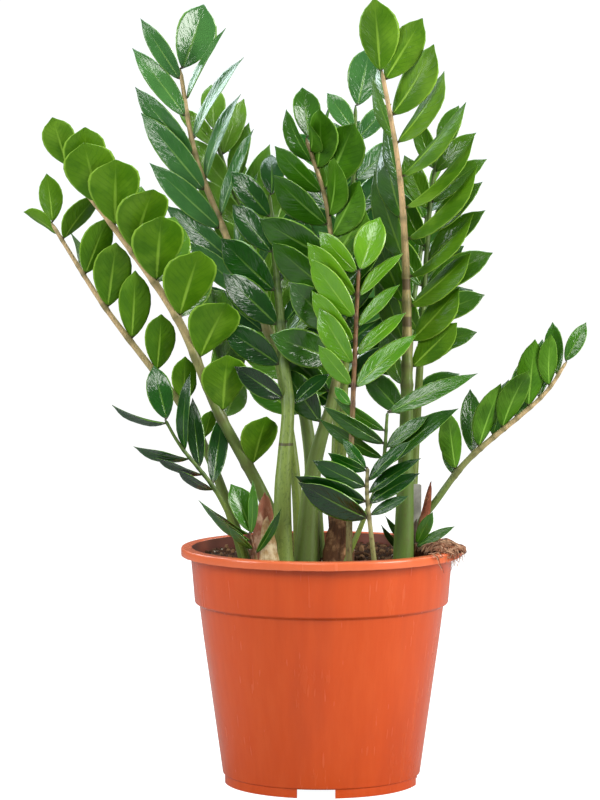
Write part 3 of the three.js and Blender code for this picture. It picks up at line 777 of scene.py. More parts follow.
FRONDS = (
    Frond("frond_left_round", Leaf.SAGE, Stem.TAN, (7.5, 2.2, 1.2), (0.8, 0, 0.6), (
        (-34, -29, 178), (-35, -30, 216), (-55, -38, 279), (-98, -54, 362), (-135, -66, 449),
        (-190, -78, 530), (-239, -84, 592),
    ), (
        Rank(9, (0.3, 0.715, 0.935), (50, 74, 60), 0.72, (18, 46, 26), (-30,), (-34,), 6),
        Rank(8, (0.4, 0.93), (58, 78, 52), 0.56, (64, 56), (40,), (4,), 8),
        end(48, 0.62, 24, 0, 0),
    )),
    Frond("frond_left_low", Leaf.SAGE, Stem.TAN, (6, 1.8, 1.2), (0.75, 0, 0.66), (
        (-74, -12, 184), (-75, -12, 220), (-103, -18, 305), (-132, -24, 363), (-168, -26, 409),
        (-210, -26, 465), (-257, -18, 539),
    ), (
        Rank(7, (0.39, 0.95), (30, 66, 56), 0.52, (34, 38, 62), (-12, -14, -20), (-12, -12, -58), 8),
        Rank(6, (0.48, 0.97), (36, 58, 54), 0.46, (56, 46), (30, 30, 112), (-6,), 8),
        end(47, 0.57, 27, 0, 6),
    )),
    Frond("frond_left_tall", Leaf.TEAL, Stem.TAN, (8, 2, 1.3), (0.1, -0.95, 0.3), (
        (-2, -15, 176), (-3, -15, 214), (-16, -4, 355), (-57, 12, 445), (-96, 22, 536), (-122, 27, 606),
        (-136, 28, 686),
    ), (
        Rank(8, (0.5, 0.985), (70, 92, 72), 0.28, (24, 31), (-80,), (20,), 16),
        Rank(6, (0.58, 0.94), (74, 92, 80), 0.27, (38, 37), (62,), (42,), 10),
        end(68, 0.58, 36, 88, -15),
    )),
    Frond("frond_left_inner", Leaf.FRESH, Stem.OLIVE, (6, 1.8, 1.2), (0.2, -0.95, 0.2), (
        (-20, 25, 176), (-21, 25, 212), (-28, 30, 318), (-58, 44, 483), (-91, 50, 584), (-106, 52, 628),
    ), (
        Rank(6, (0.5, 0.96), (66, 72, 54), 0.36, (34, 16), (-75,), (20,), 20),
        Rank(7, (0.52, 0.95), (66, 78, 58), 0.36, (34, 26), (75,), (24,), 20),
        end(50, 0.5, 12, 90, 0),
    )),
    Frond("frond_left_small", Leaf.DEEP, Stem.OLIVE, (3, 1.4, 1), (0, -1, 0.1), (
        (-72, -50, 190), (-72, -50, 220), (-97, -60, 282), (-132, -68, 329), (-147, -72, 355),
    ), (
        Rank(5, (0.565, 0.985), (38, 56, 56), 0.4, (34, 48), (-80, -88), (62,), 6),
        Rank(3, (0.59, 0.82), (72, 62, 76), 0.24, (48, 24), (110, 66), (24,), 8),
        end(57, 0.47, 12, 90, 5),
    )),
    Frond("frond_front_seedling", Leaf.MID, Stem.RUSSET, (2.2, 1.2, 1), (0, -1, 0), (
        (-61, -94, 190), (-61, -95, 218), (-63, -96, 233), (-68, -98, 252),
    ), (
        Rank(3, (0.75, 0.975), (32, 56, 58), 0.36, (40, 60), (-78,), (50,), 6),
        Rank(2, (0.68, 0.97), (50, 52, 54), 0.22, (46, 16), (84, 90), (-30,), 8),
        end(46, 0.59, 14, 90, 0),
    )),
    Frond("frond_left_thick", Leaf.DEEP, Stem.RINGED, (11, 2, 1.25), (0.1, -0.9, 0.35), (
        (-35, -70, 176), (-36, -70, 214), (-37, -70, 289), (-32, -62, 364), (-36, -48, 411), (-46, -8, 523),
        (-50, 8, 565),
    ), (
        Rank(6, (0.49, 0.95), (60, 70, 56), 0.46, (62, 30), (-78,), (25,), 25),
        Rank(5, (0.485, 0.88), (42, 66, 56), 0.44, (46, 30), (78,), (25,), 25),
        end(50, 0.5, 8, 90, 0),
    )),
    Frond("frond_center_curved", Leaf.MID, Stem.TAN, (15.5, 2, 2.6), (-0.1, -0.95, 0.3), (
        (-15, -49, 176), (-15, -48, 215), (-8, -46, 306), (11, -42, 377), (15, -38, 428), (6, -32, 547),
        (-15, -26, 619),
    ), (
        Rank(9, (0.385, 0.95), (66, 76, 60), 0.5, (50, 58, 20), (-56, -92), (18, 30, 58), 12),
        Rank(6, (0.74, 0.975), (64, 68, 58), 0.6, (40, 38), (-296, -302), (0,), 10),
        Rank(4, (0.56, 0.71), (62, 66, 70), 0.46, (48, 36), (56, 62), (24,), 10),
        end(52, 0.6, 16, 90, -24),
    )),
    Frond("frond_front_bright", Leaf.BRIGHT, Stem.RUSSET, (3.4, 1.7, 1), (0, -1, 0.1), (
        (24, -93, 188), (25, -92, 220), (26, -90, 298), (31, -84, 431), (34, -82, 496),
    ), (
        Rank(7, (0.585, 0.99), (24, 72, 56), 0.42, (42, 54), (-84, -98), (22,), 12),
        Rank(4, (0.65, 0.92), (74, 61, 60), 0.3, (43, 42), (76, 84), (30,), 12),
        end(54, 0.57, 14, 90, 0),
    )),
    Frond("frond_front_dark", Leaf.DEEP, Stem.PALE, (2.8, 1.6, 1), (0, -0.9, 0.35), (
        (50, -98, 190), (49, -98, 220), (42, -102, 283), (42, -104, 313),
    ), (
        Rank(4, (0.62, 0.985), (80, 66, 38), 0.36, (60, 72), (-72,), (26,), 12),
        Rank(4, (0.64, 0.9), (42, 57, 56), 0.31, (66, 42), (76, 70), (32,), 10),
        end(34, 0.3, 39, -90, 0),
    )),
    Frond("frond_front_slim", Leaf.MID, Stem.OLIVE, (3, 1.4, 1), (0, -0.95, 0.2), (
        (21, -72, 188), (22, -72, 218), (38, -74, 259), (56, -78, 309), (61, -82, 363),
    ), (
        Rank(3, (0.76, 0.91), (70, 74, 55), 0.22, (66, 62), (-84, -78), (20,), 8),
        Rank(2, (0.73, 0.82), (90, 70, 48), 0.32, (30, 42), (66, 78), (26,), 8),
        end(92, 0.21, 55, 90, 26),
    )),
    Frond("frond_right_tall", Leaf.SAGE, Stem.SCARRED, (11.5, 2, 1.8), (0.75, 0.65, 0), (
        (77, -50, 176), (77, -50, 215), (79, -54, 304), (80, -58, 431), (77, -60, 532), (70, -60, 604),
        (56, -56, 681),
    ), (
        Rank(10, (0.445, 0.98), (58, 92, 66), 0.48, (44, 56, 44), (-48,), (-8, 72, -4), 8),
        Rank(8, (0.42, 0.95), (84, 104, 62), 0.34, (38,), (-278, -300), (-12,), 10),
        end(66, 0.58, -6, 90, -26),
    )),
    Frond("frond_right_back", Leaf.SAGE, Stem.OLIVE, (6, 1.8, 1.2), (-0.2, -0.95, 0.2), (
        (84, 30, 176), (84, 30, 211), (90, 40, 298), (100, 54, 463), (107, 62, 565), (115, 64, 607),
    ), (
        Rank(7, (0.56, 0.95), (58, 73, 57), 0.4, (64, 34), (92, 58), (4,), 14),
        Rank(5, (0.6, 0.96), (62, 62, 52), 0.42, (36,), (-74,), (20,), 20),
        end(52, 0.46, 10, 90, 0),
    )),
    Frond("frond_right_arching", Leaf.MID, Stem.TAN, (4.2, 1.5, 0.9), (-0.66, 0, 0.75), (
        (86, -12, 188), (87, -12, 217), (94, -14, 250), (110, -16, 274), (143, -18, 316), (208, -22, 372),
        (233, -24, 407),
    ), (
        Rank(5, (0.46, 0.9), (64, 70, 52), 0.41, (54, 28, 38), (14,), (-12,), 6),
        Rank(6, (0.44, 0.94), (44, 70, 56), 0.36, (50, 38), (-26, -40), (-18,), 10),
        end(43, 0.4, 10, 0, 0),
    )),
    Frond("frond_right_sprig", Leaf.MID, Stem.RUSSET, (2, 1.2, 1), (0, -1, 0.2), (
        (86, -36, 192), (87, -38, 217), (89, -42, 236),
    ), (
        Rank(2, (0.64, 0.9), (44, 42, 38), 0.26, (53, 46), (-86,), (26,), 10),
        Rank(1, (0.92,), (42,), 0.24, (64,), (88,), (28,), 0),
        end(36, 0.4, 21, 90, 0),
    )),
    Frond("frond_center_back", Leaf.TEAL, Stem.OLIVE, (6, 1.8, 1.2), (0, -0.9, 0.3), (
        (16, 40, 176), (16, 40, 211), (20, 44, 317), (28, 46, 521), (32, 44, 599), (33, 42, 651),
    ), (
        Rank(6, (0.54, 0.95), (58, 60, 44), 0.46, (50, 34), (-74,), (14,), 16),
        Rank(6, (0.56, 0.93), (58, 60, 46), 0.46, (50, 30), (74,), (14,), 16),
        end(58, 0.58, 8, 90, 0),
    )),
    Frond("frond_rear_left", Leaf.SAGE, Stem.OLIVE, (6, 1.8, 1.2), (0, -0.8, 0.6), (
        (-15, 54, 176), (-15, 55, 212), (-13, 75, 314), (-41, 130, 460), (-71, 170, 569),
    ), (
        Rank(7, (0.42, 0.95), (62, 68, 50), 0.52, (54, 38), (-72,), (8,), 12),
        Rank(7, (0.45, 0.97), (62, 68, 50), 0.52, (54, 38), (72,), (8,), 12),
        end(50, 0.52, 0, 0, 0),
    )),
    Frond("frond_rear_center", Leaf.DEEP, Stem.OLIVE, (6.5, 1.8, 1.2), (0.1, -0.85, 0.5), (
        (13, 60, 176), (13, 60, 212), (15, 80, 314), (17, 105, 391), (11, 150, 539), (5, 165, 609),
    ), (
        Rank(7, (0.42, 0.95), (62, 70, 50), 0.5, (54, 38), (-72,), (8,), 12),
        Rank(7, (0.45, 0.97), (62, 70, 50), 0.5, (54, 38), (72,), (8,), 12),
        end(50, 0.52, 0, 0, 0),
    )),
    Frond("frond_rear_right", Leaf.MID, Stem.OLIVE, (6, 1.8, 1.2), (-0.2, -0.8, 0.5), (
        (81, 44, 176), (81, 45, 213), (82, 70, 315), (93, 130, 460), (110, 165, 559),
    ), (
        Rank(6, (0.44, 0.95), (60, 66, 50), 0.52, (54, 38), (-72,), (8,), 12),
        Rank(6, (0.47, 0.97), (60, 66, 50), 0.52, (54, 38), (72,), (8,), 12),
        end(50, 0.52, 0, 0, 0),
    )),
)

# The turns and shrinks that a leaflet may have taken in the solids to stand clear of its neighbours.
SWINGS = (
    (0, 0), (8, 0), (-8, 0), (0, 12), (0, -12), (8, 12), (-8, -12), (8, -12), (-8, 12),
    (16, 0), (-16, 0), (0, 24), (0, -24), (16, 24), (-16, -24), (16, -24), (-16, 24),
    (24, 12), (24, -12), (0, 40), (0, -40), (24, 40), (24, -40),
)
SHRINKS = (1, 0.82, 0.64)
# How near a leaflet's tip has to be to a corner of the solid to be the one that the solid has.
TIP_REACH = 0.05
# A leaflet is rounded at its foot and drawn out to its tip, and the broader it is the nearer to its
# tip it is widest: at the middle for a mere line, and further on by the shift for a round one.
BLADE_ROUND = 1.58
BLADE_MIDDLE = 0.38
BLADE_SHIFT = 0.28
BLADE_THICKNESS = 1.4
NECK = 1.3
RIPPLE = 0.012
# Points of a leaflet's two sheets that are nearer than this are one.
WELD = 0.02
# About a whole turn, for draws of an angle.
TURN = 6.28


def draw(n: float) -> float:
    """A repeatable draw between 0 and 1 for each whole number."""
    return (math.sin(n * 12.9898) * 43758.5453) % 1.0


def along(values: tuple[float, ...], t: float) -> float:
    """One value of a rank at t from 0 at its foot to 1 at its tip.

    Args:
        values: One, two or three given values.
        t: How far along the rank.

    Returns:
        The value there.
    """
    near, far = values[0], values[-1]
    middle = values[1] if len(values) == 3 else (near + far) / 2
    return near * (1 - t) * (1 - 2 * t) + 4 * middle * t * (1 - t) + far * t * (2 * t - 1)


class Route:
    """A smooth curve through a stalk's route points."""

    STEPS = 200
    NUDGE = 1e-4

    def __init__(self, points: tuple[Point, ...]) -> None:
        """Measures the curve.

        Args:
            points: What it runs through.
        """
        inner = [np.array(p, float) for p in points]
        self.points = [2 * inner[0] - inner[1], *inner, 2 * inner[-1] - inner[-2]]
        self.shares = np.linspace(0, 1, self.STEPS + 1)
        places = np.array([self.at(t) for t in self.shares])
        gaps = np.linalg.norm(np.diff(places, axis=0), axis=1)
        self.lengths = np.concatenate([[0], np.cumsum(gaps)])

    def at(self, t: float) -> np.ndarray:
        """The point at a share of the route's spans.

        Args:
            t: From 0 at the foot to 1 at the tip.

        Returns:
            The point.
        """
        spans = len(self.points) - 3
        span = min(int(t * spans), spans - 1)
        w = t * spans - span
        before, low, high, after = self.points[span : span + 4]
        leave, arrive = (high - before) / 2, (after - low) / 2
        square = -3 * low + 3 * high - 2 * leave - arrive
        cube = 2 * low - 2 * high + leave + arrive
        return low + leave * w + square * w * w + cube * w**3

    def share(self, u: float) -> float:
        """Turns a share of the length into a share of the spans."""
        return float(np.interp(u * self.lengths[-1], self.lengths, self.shares))

    def point(self, u: float) -> np.ndarray:
        """The point at a share of the length."""
        return self.at(self.share(u))

    def tangent(self, u: float) -> np.ndarray:
        """The way the curve points at a share of the length.

        Args:
            u: The share.

        Returns:
            The direction.
        """
        t = self.share(u)
        step = self.at(min(1, t + self.NUDGE)) - self.at(max(0, t - self.NUDGE))
        return step / np.linalg.norm(step)


@dataclass
class Leaflet:
    """A leaflet's own axes and sizes, in millimetres."""

    base: np.ndarray
    trunk: np.ndarray
    lengthwise: np.ndarray
    widthwise: np.ndarray
    upward: np.ndarray
    length: float
    half: float
    bend: float
    fold: float

    def tip(self) -> np.ndarray:
        """Where its point is."""
        ahead, drop = math.sin(self.bend), 1 - math.cos(self.bend)
        return self.base + (self.lengthwise * ahead - self.upward * drop) * (self.length / self.bend)


@dataclass
class Stalk:
    """A frond's stalk and the leaflets that its rule puts on it.

    order is the frond's place in the list, which its draws start from. A scatter is how far a draw may
    move a leaflet: a share for its length, place and width, degrees for its angles, radians for its bend.
    """

    LENGTH_SCATTER = 0.07
    PLACE_SCATTER = 0.006
    WIDTH_SCATTER = 0.08
    SPLAY_SCATTER = 5
    AROUND_SCATTER = 6
    FOLD, FOLD_SCATTER = 14, 6
    BEND, BEND_SCATTER = 0.3, 0.24
    plan: Frond
    order: int
    route: Route

    def radius(self, u: float) -> float:
        """How thick the stalk is at a share of its length."""
        foot, tip, taper = self.plan.stalk
        return tip + (foot - tip) * (1 - u) ** taper

    def outward(self, u: float, around: float) -> np.ndarray:
        """The direction out of the stalk at an angle about it from its upper side.

        Args:
            u: The share of its length.
            around: The angle, in radians.

        Returns:
            The direction.
        """
        stem = self.route.tangent(u)
        upper = np.array(self.plan.upper, float)
        upper -= stem * upper.dot(stem)
        upper /= np.linalg.norm(upper)
        return upper * math.cos(around) + np.cross(stem, upper) * math.sin(around)

    def leaflet(self, row: Rank, seed: int, k: int, swing: tuple[int, int], shrink: float) -> Leaflet:
        """One leaflet by the solids' own rule.

        Args:
            row: Its rank.
            seed: Where the rank's draws start.
            k: Its place in the rank.
            swing: The turn it took, in degrees of splay and of around.
            shrink: How far it shrank.

        Returns:
            The leaflet.
        """
        t = k / (row.count - 1) if row.count > 1 else 0.5

        def vary(n: int, span: float) -> float:
            """This leaflet's own draw."""
            return span * (2 * draw(seed + 17 * k + n) - 1)

        length = along(row.lengths, t) * (1 + vary(1, self.LENGTH_SCATTER))
        u = along(row.span, t) + (vary(2, self.PLACE_SCATTER) if row.count > 1 else 0)
        width = length * row.slender * (1 + vary(3, self.WIDTH_SCATTER))
        splay = math.radians(along(row.splay, t) + vary(4, self.SPLAY_SCATTER) + swing[0])
        turn = along(row.around, t) + vary(5, self.AROUND_SCATTER) + swing[1]
        roll = math.radians(along(row.roll, t) + vary(6, row.scatter))
        fold = math.radians(self.FOLD + vary(7, self.FOLD_SCATTER))
        stem, out = self.route.tangent(u), self.outward(u, math.radians(turn))
        trunk = self.route.point(u)
        lengthwise = stem * math.cos(splay) + out * math.sin(splay)
        flat = out * math.cos(splay) - stem * math.sin(splay)
        flat = -flat if turn < 0 else flat
        face = np.cross(flat, lengthwise)
        widthwise = flat * math.cos(roll) + face * math.sin(roll)
        upward = face * math.cos(roll) - flat * math.sin(roll)
        base = trunk + out * self.radius(u)
        half, bend = width * shrink / 2, self.BEND + vary(8, self.BEND_SCATTER)
        return Leaflet(base, trunk, lengthwise, widthwise, upward, length * shrink, half, bend, fold)

    def leaflets(self, solid: kdtree.KDTree, axis: Vector) -> list[Leaflet]:
        """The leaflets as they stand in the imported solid.

        Args:
            solid: The corners of the frond's solid.
            axis: The pot's axis, in metres.

        Returns:
            Each leaflet that the solid has.
        """
        found = []
        for r, row in enumerate(self.plan.ranks):
            seed = 1000 * self.order + 300 * r
            for k in range(row.count):
                tries = (self.leaflet(row, seed, k, swing, shrink) for shrink in SHRINKS for swing in SWINGS)
                for leaf in tries:
                    if solid.find(Vector(leaf.tip() * MM) + axis)[2] < TIP_REACH * MM:
                        found.append(leaf)
                        break
        return found


# ---- Trees for leaflets, stalks and scattered bits ----


class LeafletTree(GeometryTree):
    """Grows one leaflet at every carrier point, bent, folded and thickened by its own values."""

    # The drawn share of a leaflet's tone. The rest of it comes from how high the leaflet stands.
    DRAWN = 0.6
    # How much narrower its tip gets, how soon its neck ends, and how soon its foot leaves the stalk.
    POINTED, NECK_POWER, ROOTED = 0.5, 7.0, 70.0
    # The waves of its margin and their slant, then its groove and its rib against its thickness.
    WAVES, SLANT = 9.0, 2.2
    GROOVE, RIB = 0.16, 0.5

    def __init__(self) -> None:
        """Builds the tree."""
        super().__init__("leaflets")
        blade = self._blade(self.take("Cells along", 13), self.take("Cells across", 7))
        thickness = self.take("Thickness", BLADE_THICKNESS * MM)
        neck, ripple = self.take("Neck", NECK * MM), self.take("Ripple", RIPPLE)
        placed = self.run("GeometryNodeInstanceOnPoints", Points=self.carriers(), Instance=blade)
        real = self.run("GeometryNodeRealizeInstances", placed)
        where = self._place(thickness, neck, ripple)
        shaped = self.run("GeometryNodeSetPosition", real, Position=where)
        closed = self.run("GeometryNodeMergeByDistance", shaped, Distance=WELD * MM)
        self.finish(self.run("GeometryNodeSetShadeSmooth", closed), self.take("Material"))

    def _blade(self, cells_along: Field, cells_across: Field) -> Field:
        """The flat blade that is bent afterwards: two sheets that meet at the edge.

        Args:
            cells_along: How many rows of points lie along it.
            cells_across: How many lie across it.

        Returns:
            The blade, with s from its foot to its tip and q from edge to edge held on it.
        """
        both = self.node("GeometryNodeJoinGeometry")
        for side in (-1.0, 1.0):
            grid = self.run("GeometryNodeMeshGrid", 1.0, 1.0, cells_along, cells_across)
            raw = self.position()
            held = self.store(grid, "s", (((raw.part(0) + 0.5) * math.pi).cosine() * -0.5) + 0.5)
            held = self.store(held, "q", (raw.part(1) * math.pi).sine())
            held = self.store(held, "lift", side)
            held = self.store(held, "under", float(side < 0), on="FACE")
            sheet = self.vector(self.attribute("s"), (self.attribute("q") * 0.5) + 0.5, 0.0)
            held = self.store(held, "blade", sheet, "FLOAT2", "CORNER")
            if side < 0:
                held = self.run("GeometryNodeFlipFaces", held)
            self.feed(both.inputs[0], held)
        return Field(self, both.outputs[0])

    def _place(self, thickness: Field, neck: Field, ripple: Field) -> Field:
        """Where each point of a leaflet goes.

        Args:
            thickness: The blade's thickness at its midrib.
            neck: Half the width of the neck that it grows on.
            ripple: How wavy its margin is, against its length.

        Returns:
            The place.
        """
        s, q, side, length, half, bend, fold, phase = (
            self.attribute(name) for name in ("s", "q", "lift", "length", "half", "bend", "fold", "phase")
        )
        base, trunk, lengthwise, widthwise, upward = (
            self.attribute(name, True) for name in ("base", "trunk", "lengthwise", "widthwise", "upward")
        )
        rest, off = s.one_minus(), q.absolute()
        # The outline, which is never narrower than the neck at its foot.
        widest = ((half / length) * (2 * BLADE_SHIFT)) + BLADE_MIDDLE
        rise = (s.at_least(0.0) / widest) ** (widest * BLADE_ROUND)
        fall = (rest.at_least(0.0) / widest.one_minus()) ** (widest.one_minus() * BLADE_ROUND)
        pinch = (s.between(0.8, 1.0) * -self.POINTED) + 1.0
        stem = neck * (rest.at_least(0.0) ** self.NECK_POWER)
        w = ((half * rise * fall * pinch).at_least(stem)) * q
        # The bend along the midrib, the rippled margin, and the thickness with its groove and rib.
        ahead = (length * (bend * s).sine()) / bend
        drop = (length * ((bend * s).cosine().one_minus())) / bend
        margin = (q * q) * (s * rest * 4.0)
        wave = ((s * self.WAVES) + (q * self.SLANT) + phase).sine() * margin * length * ripple
        body = (off ** 3.0).one_minus() * (rest ** 0.5 * 0.55 + 0.45)
        groove = off.between(0.45, 0.0) * side * rest * -self.GROOVE
        rib = off.between(0.3, 0.0) * (side * -1.0).at_least(0.0) * rest * -self.RIB
        lift = ((side * body * 0.5) + groove + rib) * thickness
        # The foot reaches into the stalk.
        rooted = ((s * -self.ROOTED) + 1.0).at_least(0.0)
        at = base + ((trunk - base) * rooted) + (lengthwise * ahead) - (upward * drop)
        at = at + (widthwise * (w * fold.cosine()))
        return at + (upward * ((w.absolute() * fold.sine()) + lift + wave))

    def grow(self, name: str, leaflets: list[Leaflet], axis: Vector, look: Look) -> Piece:
        """Makes one frond's leaflets.

        Args:
            name: The piece's name.
            leaflets: What grows on the frond.
            axis: The pot's axis, in metres.
            look: Their finish.

        Returns:
            The piece.
        """
        count = len(leaflets)
        low, high = (pick(leaf.base[2] for leaf in leaflets) for pick in (min, max))
        values = {}
        for key in ("lengthwise", "widthwise", "upward", "bend", "fold"):
            values[key] = [getattr(leaf, key) for leaf in leaflets]
        for key, start in (("base", np.array(axis)), ("trunk", np.array(axis)), ("length", 0), ("half", 0)):
            values[key] = [getattr(leaf, key) * MM + start for leaf in leaflets]
        values["phase"] = [TURN * draw(7 * i + count) for i in range(count)]
        values["shade"] = [
            self.DRAWN * draw(31 * i + 5 * count + 3) + (1 - self.DRAWN) * (leaf.base[2] - low) / (high - low)
            for i, leaf in enumerate(leaflets)
        ]
        carriers = bpy.data.meshes.new(name)
        carriers.from_pydata([(0, 0, 0)] * count, [], [])
        hold(carriers, values)
        return self.make(name, carriers, {"Material": look})


class TubeTree(GeometryTree):
    """Sweeps a round section along lines of points, as thick as each point says."""

    def __init__(self) -> None:
        """Builds the tree."""
        super().__init__("tubes")
        sides, thick = self.take("Sides", 12), self.attribute("thick")
        lines = self.run("GeometryNodeMeshToCurve", self.carriers())
        ring = self.run("GeometryNodeCurvePrimitiveCircle", Resolution=sides, Radius=1.0)
        tube = self.run("GeometryNodeCurveToMesh", lines, Profile_Curve=ring, Scale=thick, Fill_Caps=True)
        self.finish(self.run("GeometryNodeSetShadeSmooth", tube), self.take("Material"))

    def grow(
        self, name: str, lines: list[list[Vector]], held: dict[str, list[float]], look: Look, sides: int
    ) -> Piece:
        """Makes the tubes.

        Args:
            name: The piece's name.
            lines: The points of each tube, in metres.
            held: Values for every point, among them its thickness.
            look: The finish.
            sides: How many sides a tube has.

        Returns:
            The piece.
        """
        edges, start = [], 0
        for line in lines:
            edges.extend((i, i + 1) for i in range(start, start + len(line) - 1))
            start += len(line)
        carriers = bpy.data.meshes.new(name)
        carriers.from_pydata([tuple(p) for line in lines for p in line], edges, [])
        hold(carriers, held)
        return self.make(name, carriers, {"Sides": sides, "Material": look})


class ScatterTree(GeometryTree):
    """Strews rough lumps over a surface, sunk a little into it."""

    # The least and the most that a lump is stretched along its three axes.
    LEAST, MOST = (0.6, 0.45, 0.3), (1.5, 1.0, 0.8)
    # How far noise nudges its corners, and the waves of that noise in a metre.
    ROUGHNESS, FINENESS = 0.002, 900.0

    def __init__(self) -> None:
        """Builds the tree."""
        super().__init__("scatter")
        density, small = self.take("Density", 20000.0), self.take("Smallest", 0.001)
        large, flat = self.take("Largest", 0.003), self.take("Flatness", 0.7)
        seed = self.take("Seed", 1)
        spread = self.run("GeometryNodeDistributePointsOnFaces", self.carriers(), Density=density, Seed=seed)
        toned = self.store(spread, "shade", self._random(0.0, 1.0, seed))
        lump = self.run("GeometryNodeMeshIcoSphere", Radius=1.0, Subdivisions=1)
        turn = self._random((0.0,) * 3, (TURN,) * 3, seed)
        shape = self._random(self.LEAST, self.MOST, seed) * self._random(small, large, seed)
        placed = self.run(
            "GeometryNodeInstanceOnPoints", Points=toned, Instance=lump, Rotation=turn, Scale=shape
        )
        real = self.run("GeometryNodeRealizeInstances", placed)
        rough = self.noise(self.position(), self.FINENESS, 2.0)
        nudge = self.vector(0.0, 0.0, (rough - 0.5) * flat * self.ROUGHNESS)
        shaped = self.run("GeometryNodeSetPosition", real, Offset=nudge)
        self.finish(shaped, self.take("Material"))

    def _random(self, low: "Field | float | Point", high: "Field | float | Point", seed: Field) -> Field:
        """A seeded draw for each lump between two numbers, or between two rows of three."""
        inputs = {"settings": {"data_type": KINDS[isinstance(low, tuple)]}, "Min": low, "Max": high}
        return self.run("FunctionNodeRandomValue", vector=isinstance(low, tuple), Seed=seed, **inputs)


# ---- The plant's parts ----


@dataclass
class Foliage:
    """All the fronds: a stalk and its leaflets for each solid."""

    axis: Vector
    nodes: dict[str, Piece]
    sides: int = 14
    steps: int = 84
    swell: float = 0.16
    swell_reach: float = 2.6
    unevenness: float = 0.03
    unevenness_rate: float = 0.05
    tip_share: float = 0.35

    def build(self) -> None:
        """Builds every frond and dresses it."""
        leaves, tubes = LeafletTree(), TubeTree()
        looks = {tone: tone.value.material() for tone in (*Leaf, *Stem)}
        total = 0
        for order, plan in enumerate(FRONDS):
            stalk = Stalk(plan, order, Route(plan.route))
            found = stalk.leaflets(self._corners(plan.name), self.axis)
            total += len(found)
            blades = leaves.grow("leaflets_" + plan.name, found, self.axis, looks[plan.leaf])
            stem = self._stem(stalk, found, tubes, looks[plan.stem])
            for piece in (blades, stem):
                own(piece, "foliage", plan.name)
        LOG.info("%d leaflets on %d fronds", total, len(FRONDS))

    def _corners(self, name: str) -> kdtree.KDTree:
        """The corners of a frond's solid, ready to be searched.

        Args:
            name: The solid's name.

        Returns:
            The corners.
        """
        vertices = self.nodes[name].data.vertices
        tree = kdtree.KDTree(len(vertices))
        for i, vertex in enumerate(vertices):
            tree.insert(vertex.co, i)
        tree.balance()
        return tree

    def _stem(self, stalk: Stalk, leaves: list[Leaflet], tubes: TubeTree, look: Look) -> Piece:
        """A stalk that swells a little where each leaflet grows.

        Args:
            stalk: The stalk.
            leaves: What grows on it.
            tubes: The tree that sweeps it.
            look: Its finish.

        Returns:
            The piece.
        """
        joints = np.array([leaf.trunk for leaf in leaves])
        line, thick, high, rings = [], [], [], []
        for i in range(self.steps + 1):
            u = i / self.steps
            at = stalk.route.point(u)
            away = float(np.min(np.linalg.norm(joints - at, axis=1))) / self.swell_reach
            ring = math.exp(-away * away)
            rough = self.unevenness * noise.noise(Vector(at) * self.unevenness_rate)
            radius = stalk.radius(u) * (1 + self.swell * ring + rough)
            line.append(Vector(at) * MM + self.axis)
            thick.append(radius * MM * (self.tip_share if i == self.steps else 1.0))
            high.append(u)
            rings.append(ring)
        held = {"thick": thick, "along": high, "node": rings}
        return tubes.grow("stalk_" + stalk.plan.name, [line], held, look, self.sides)


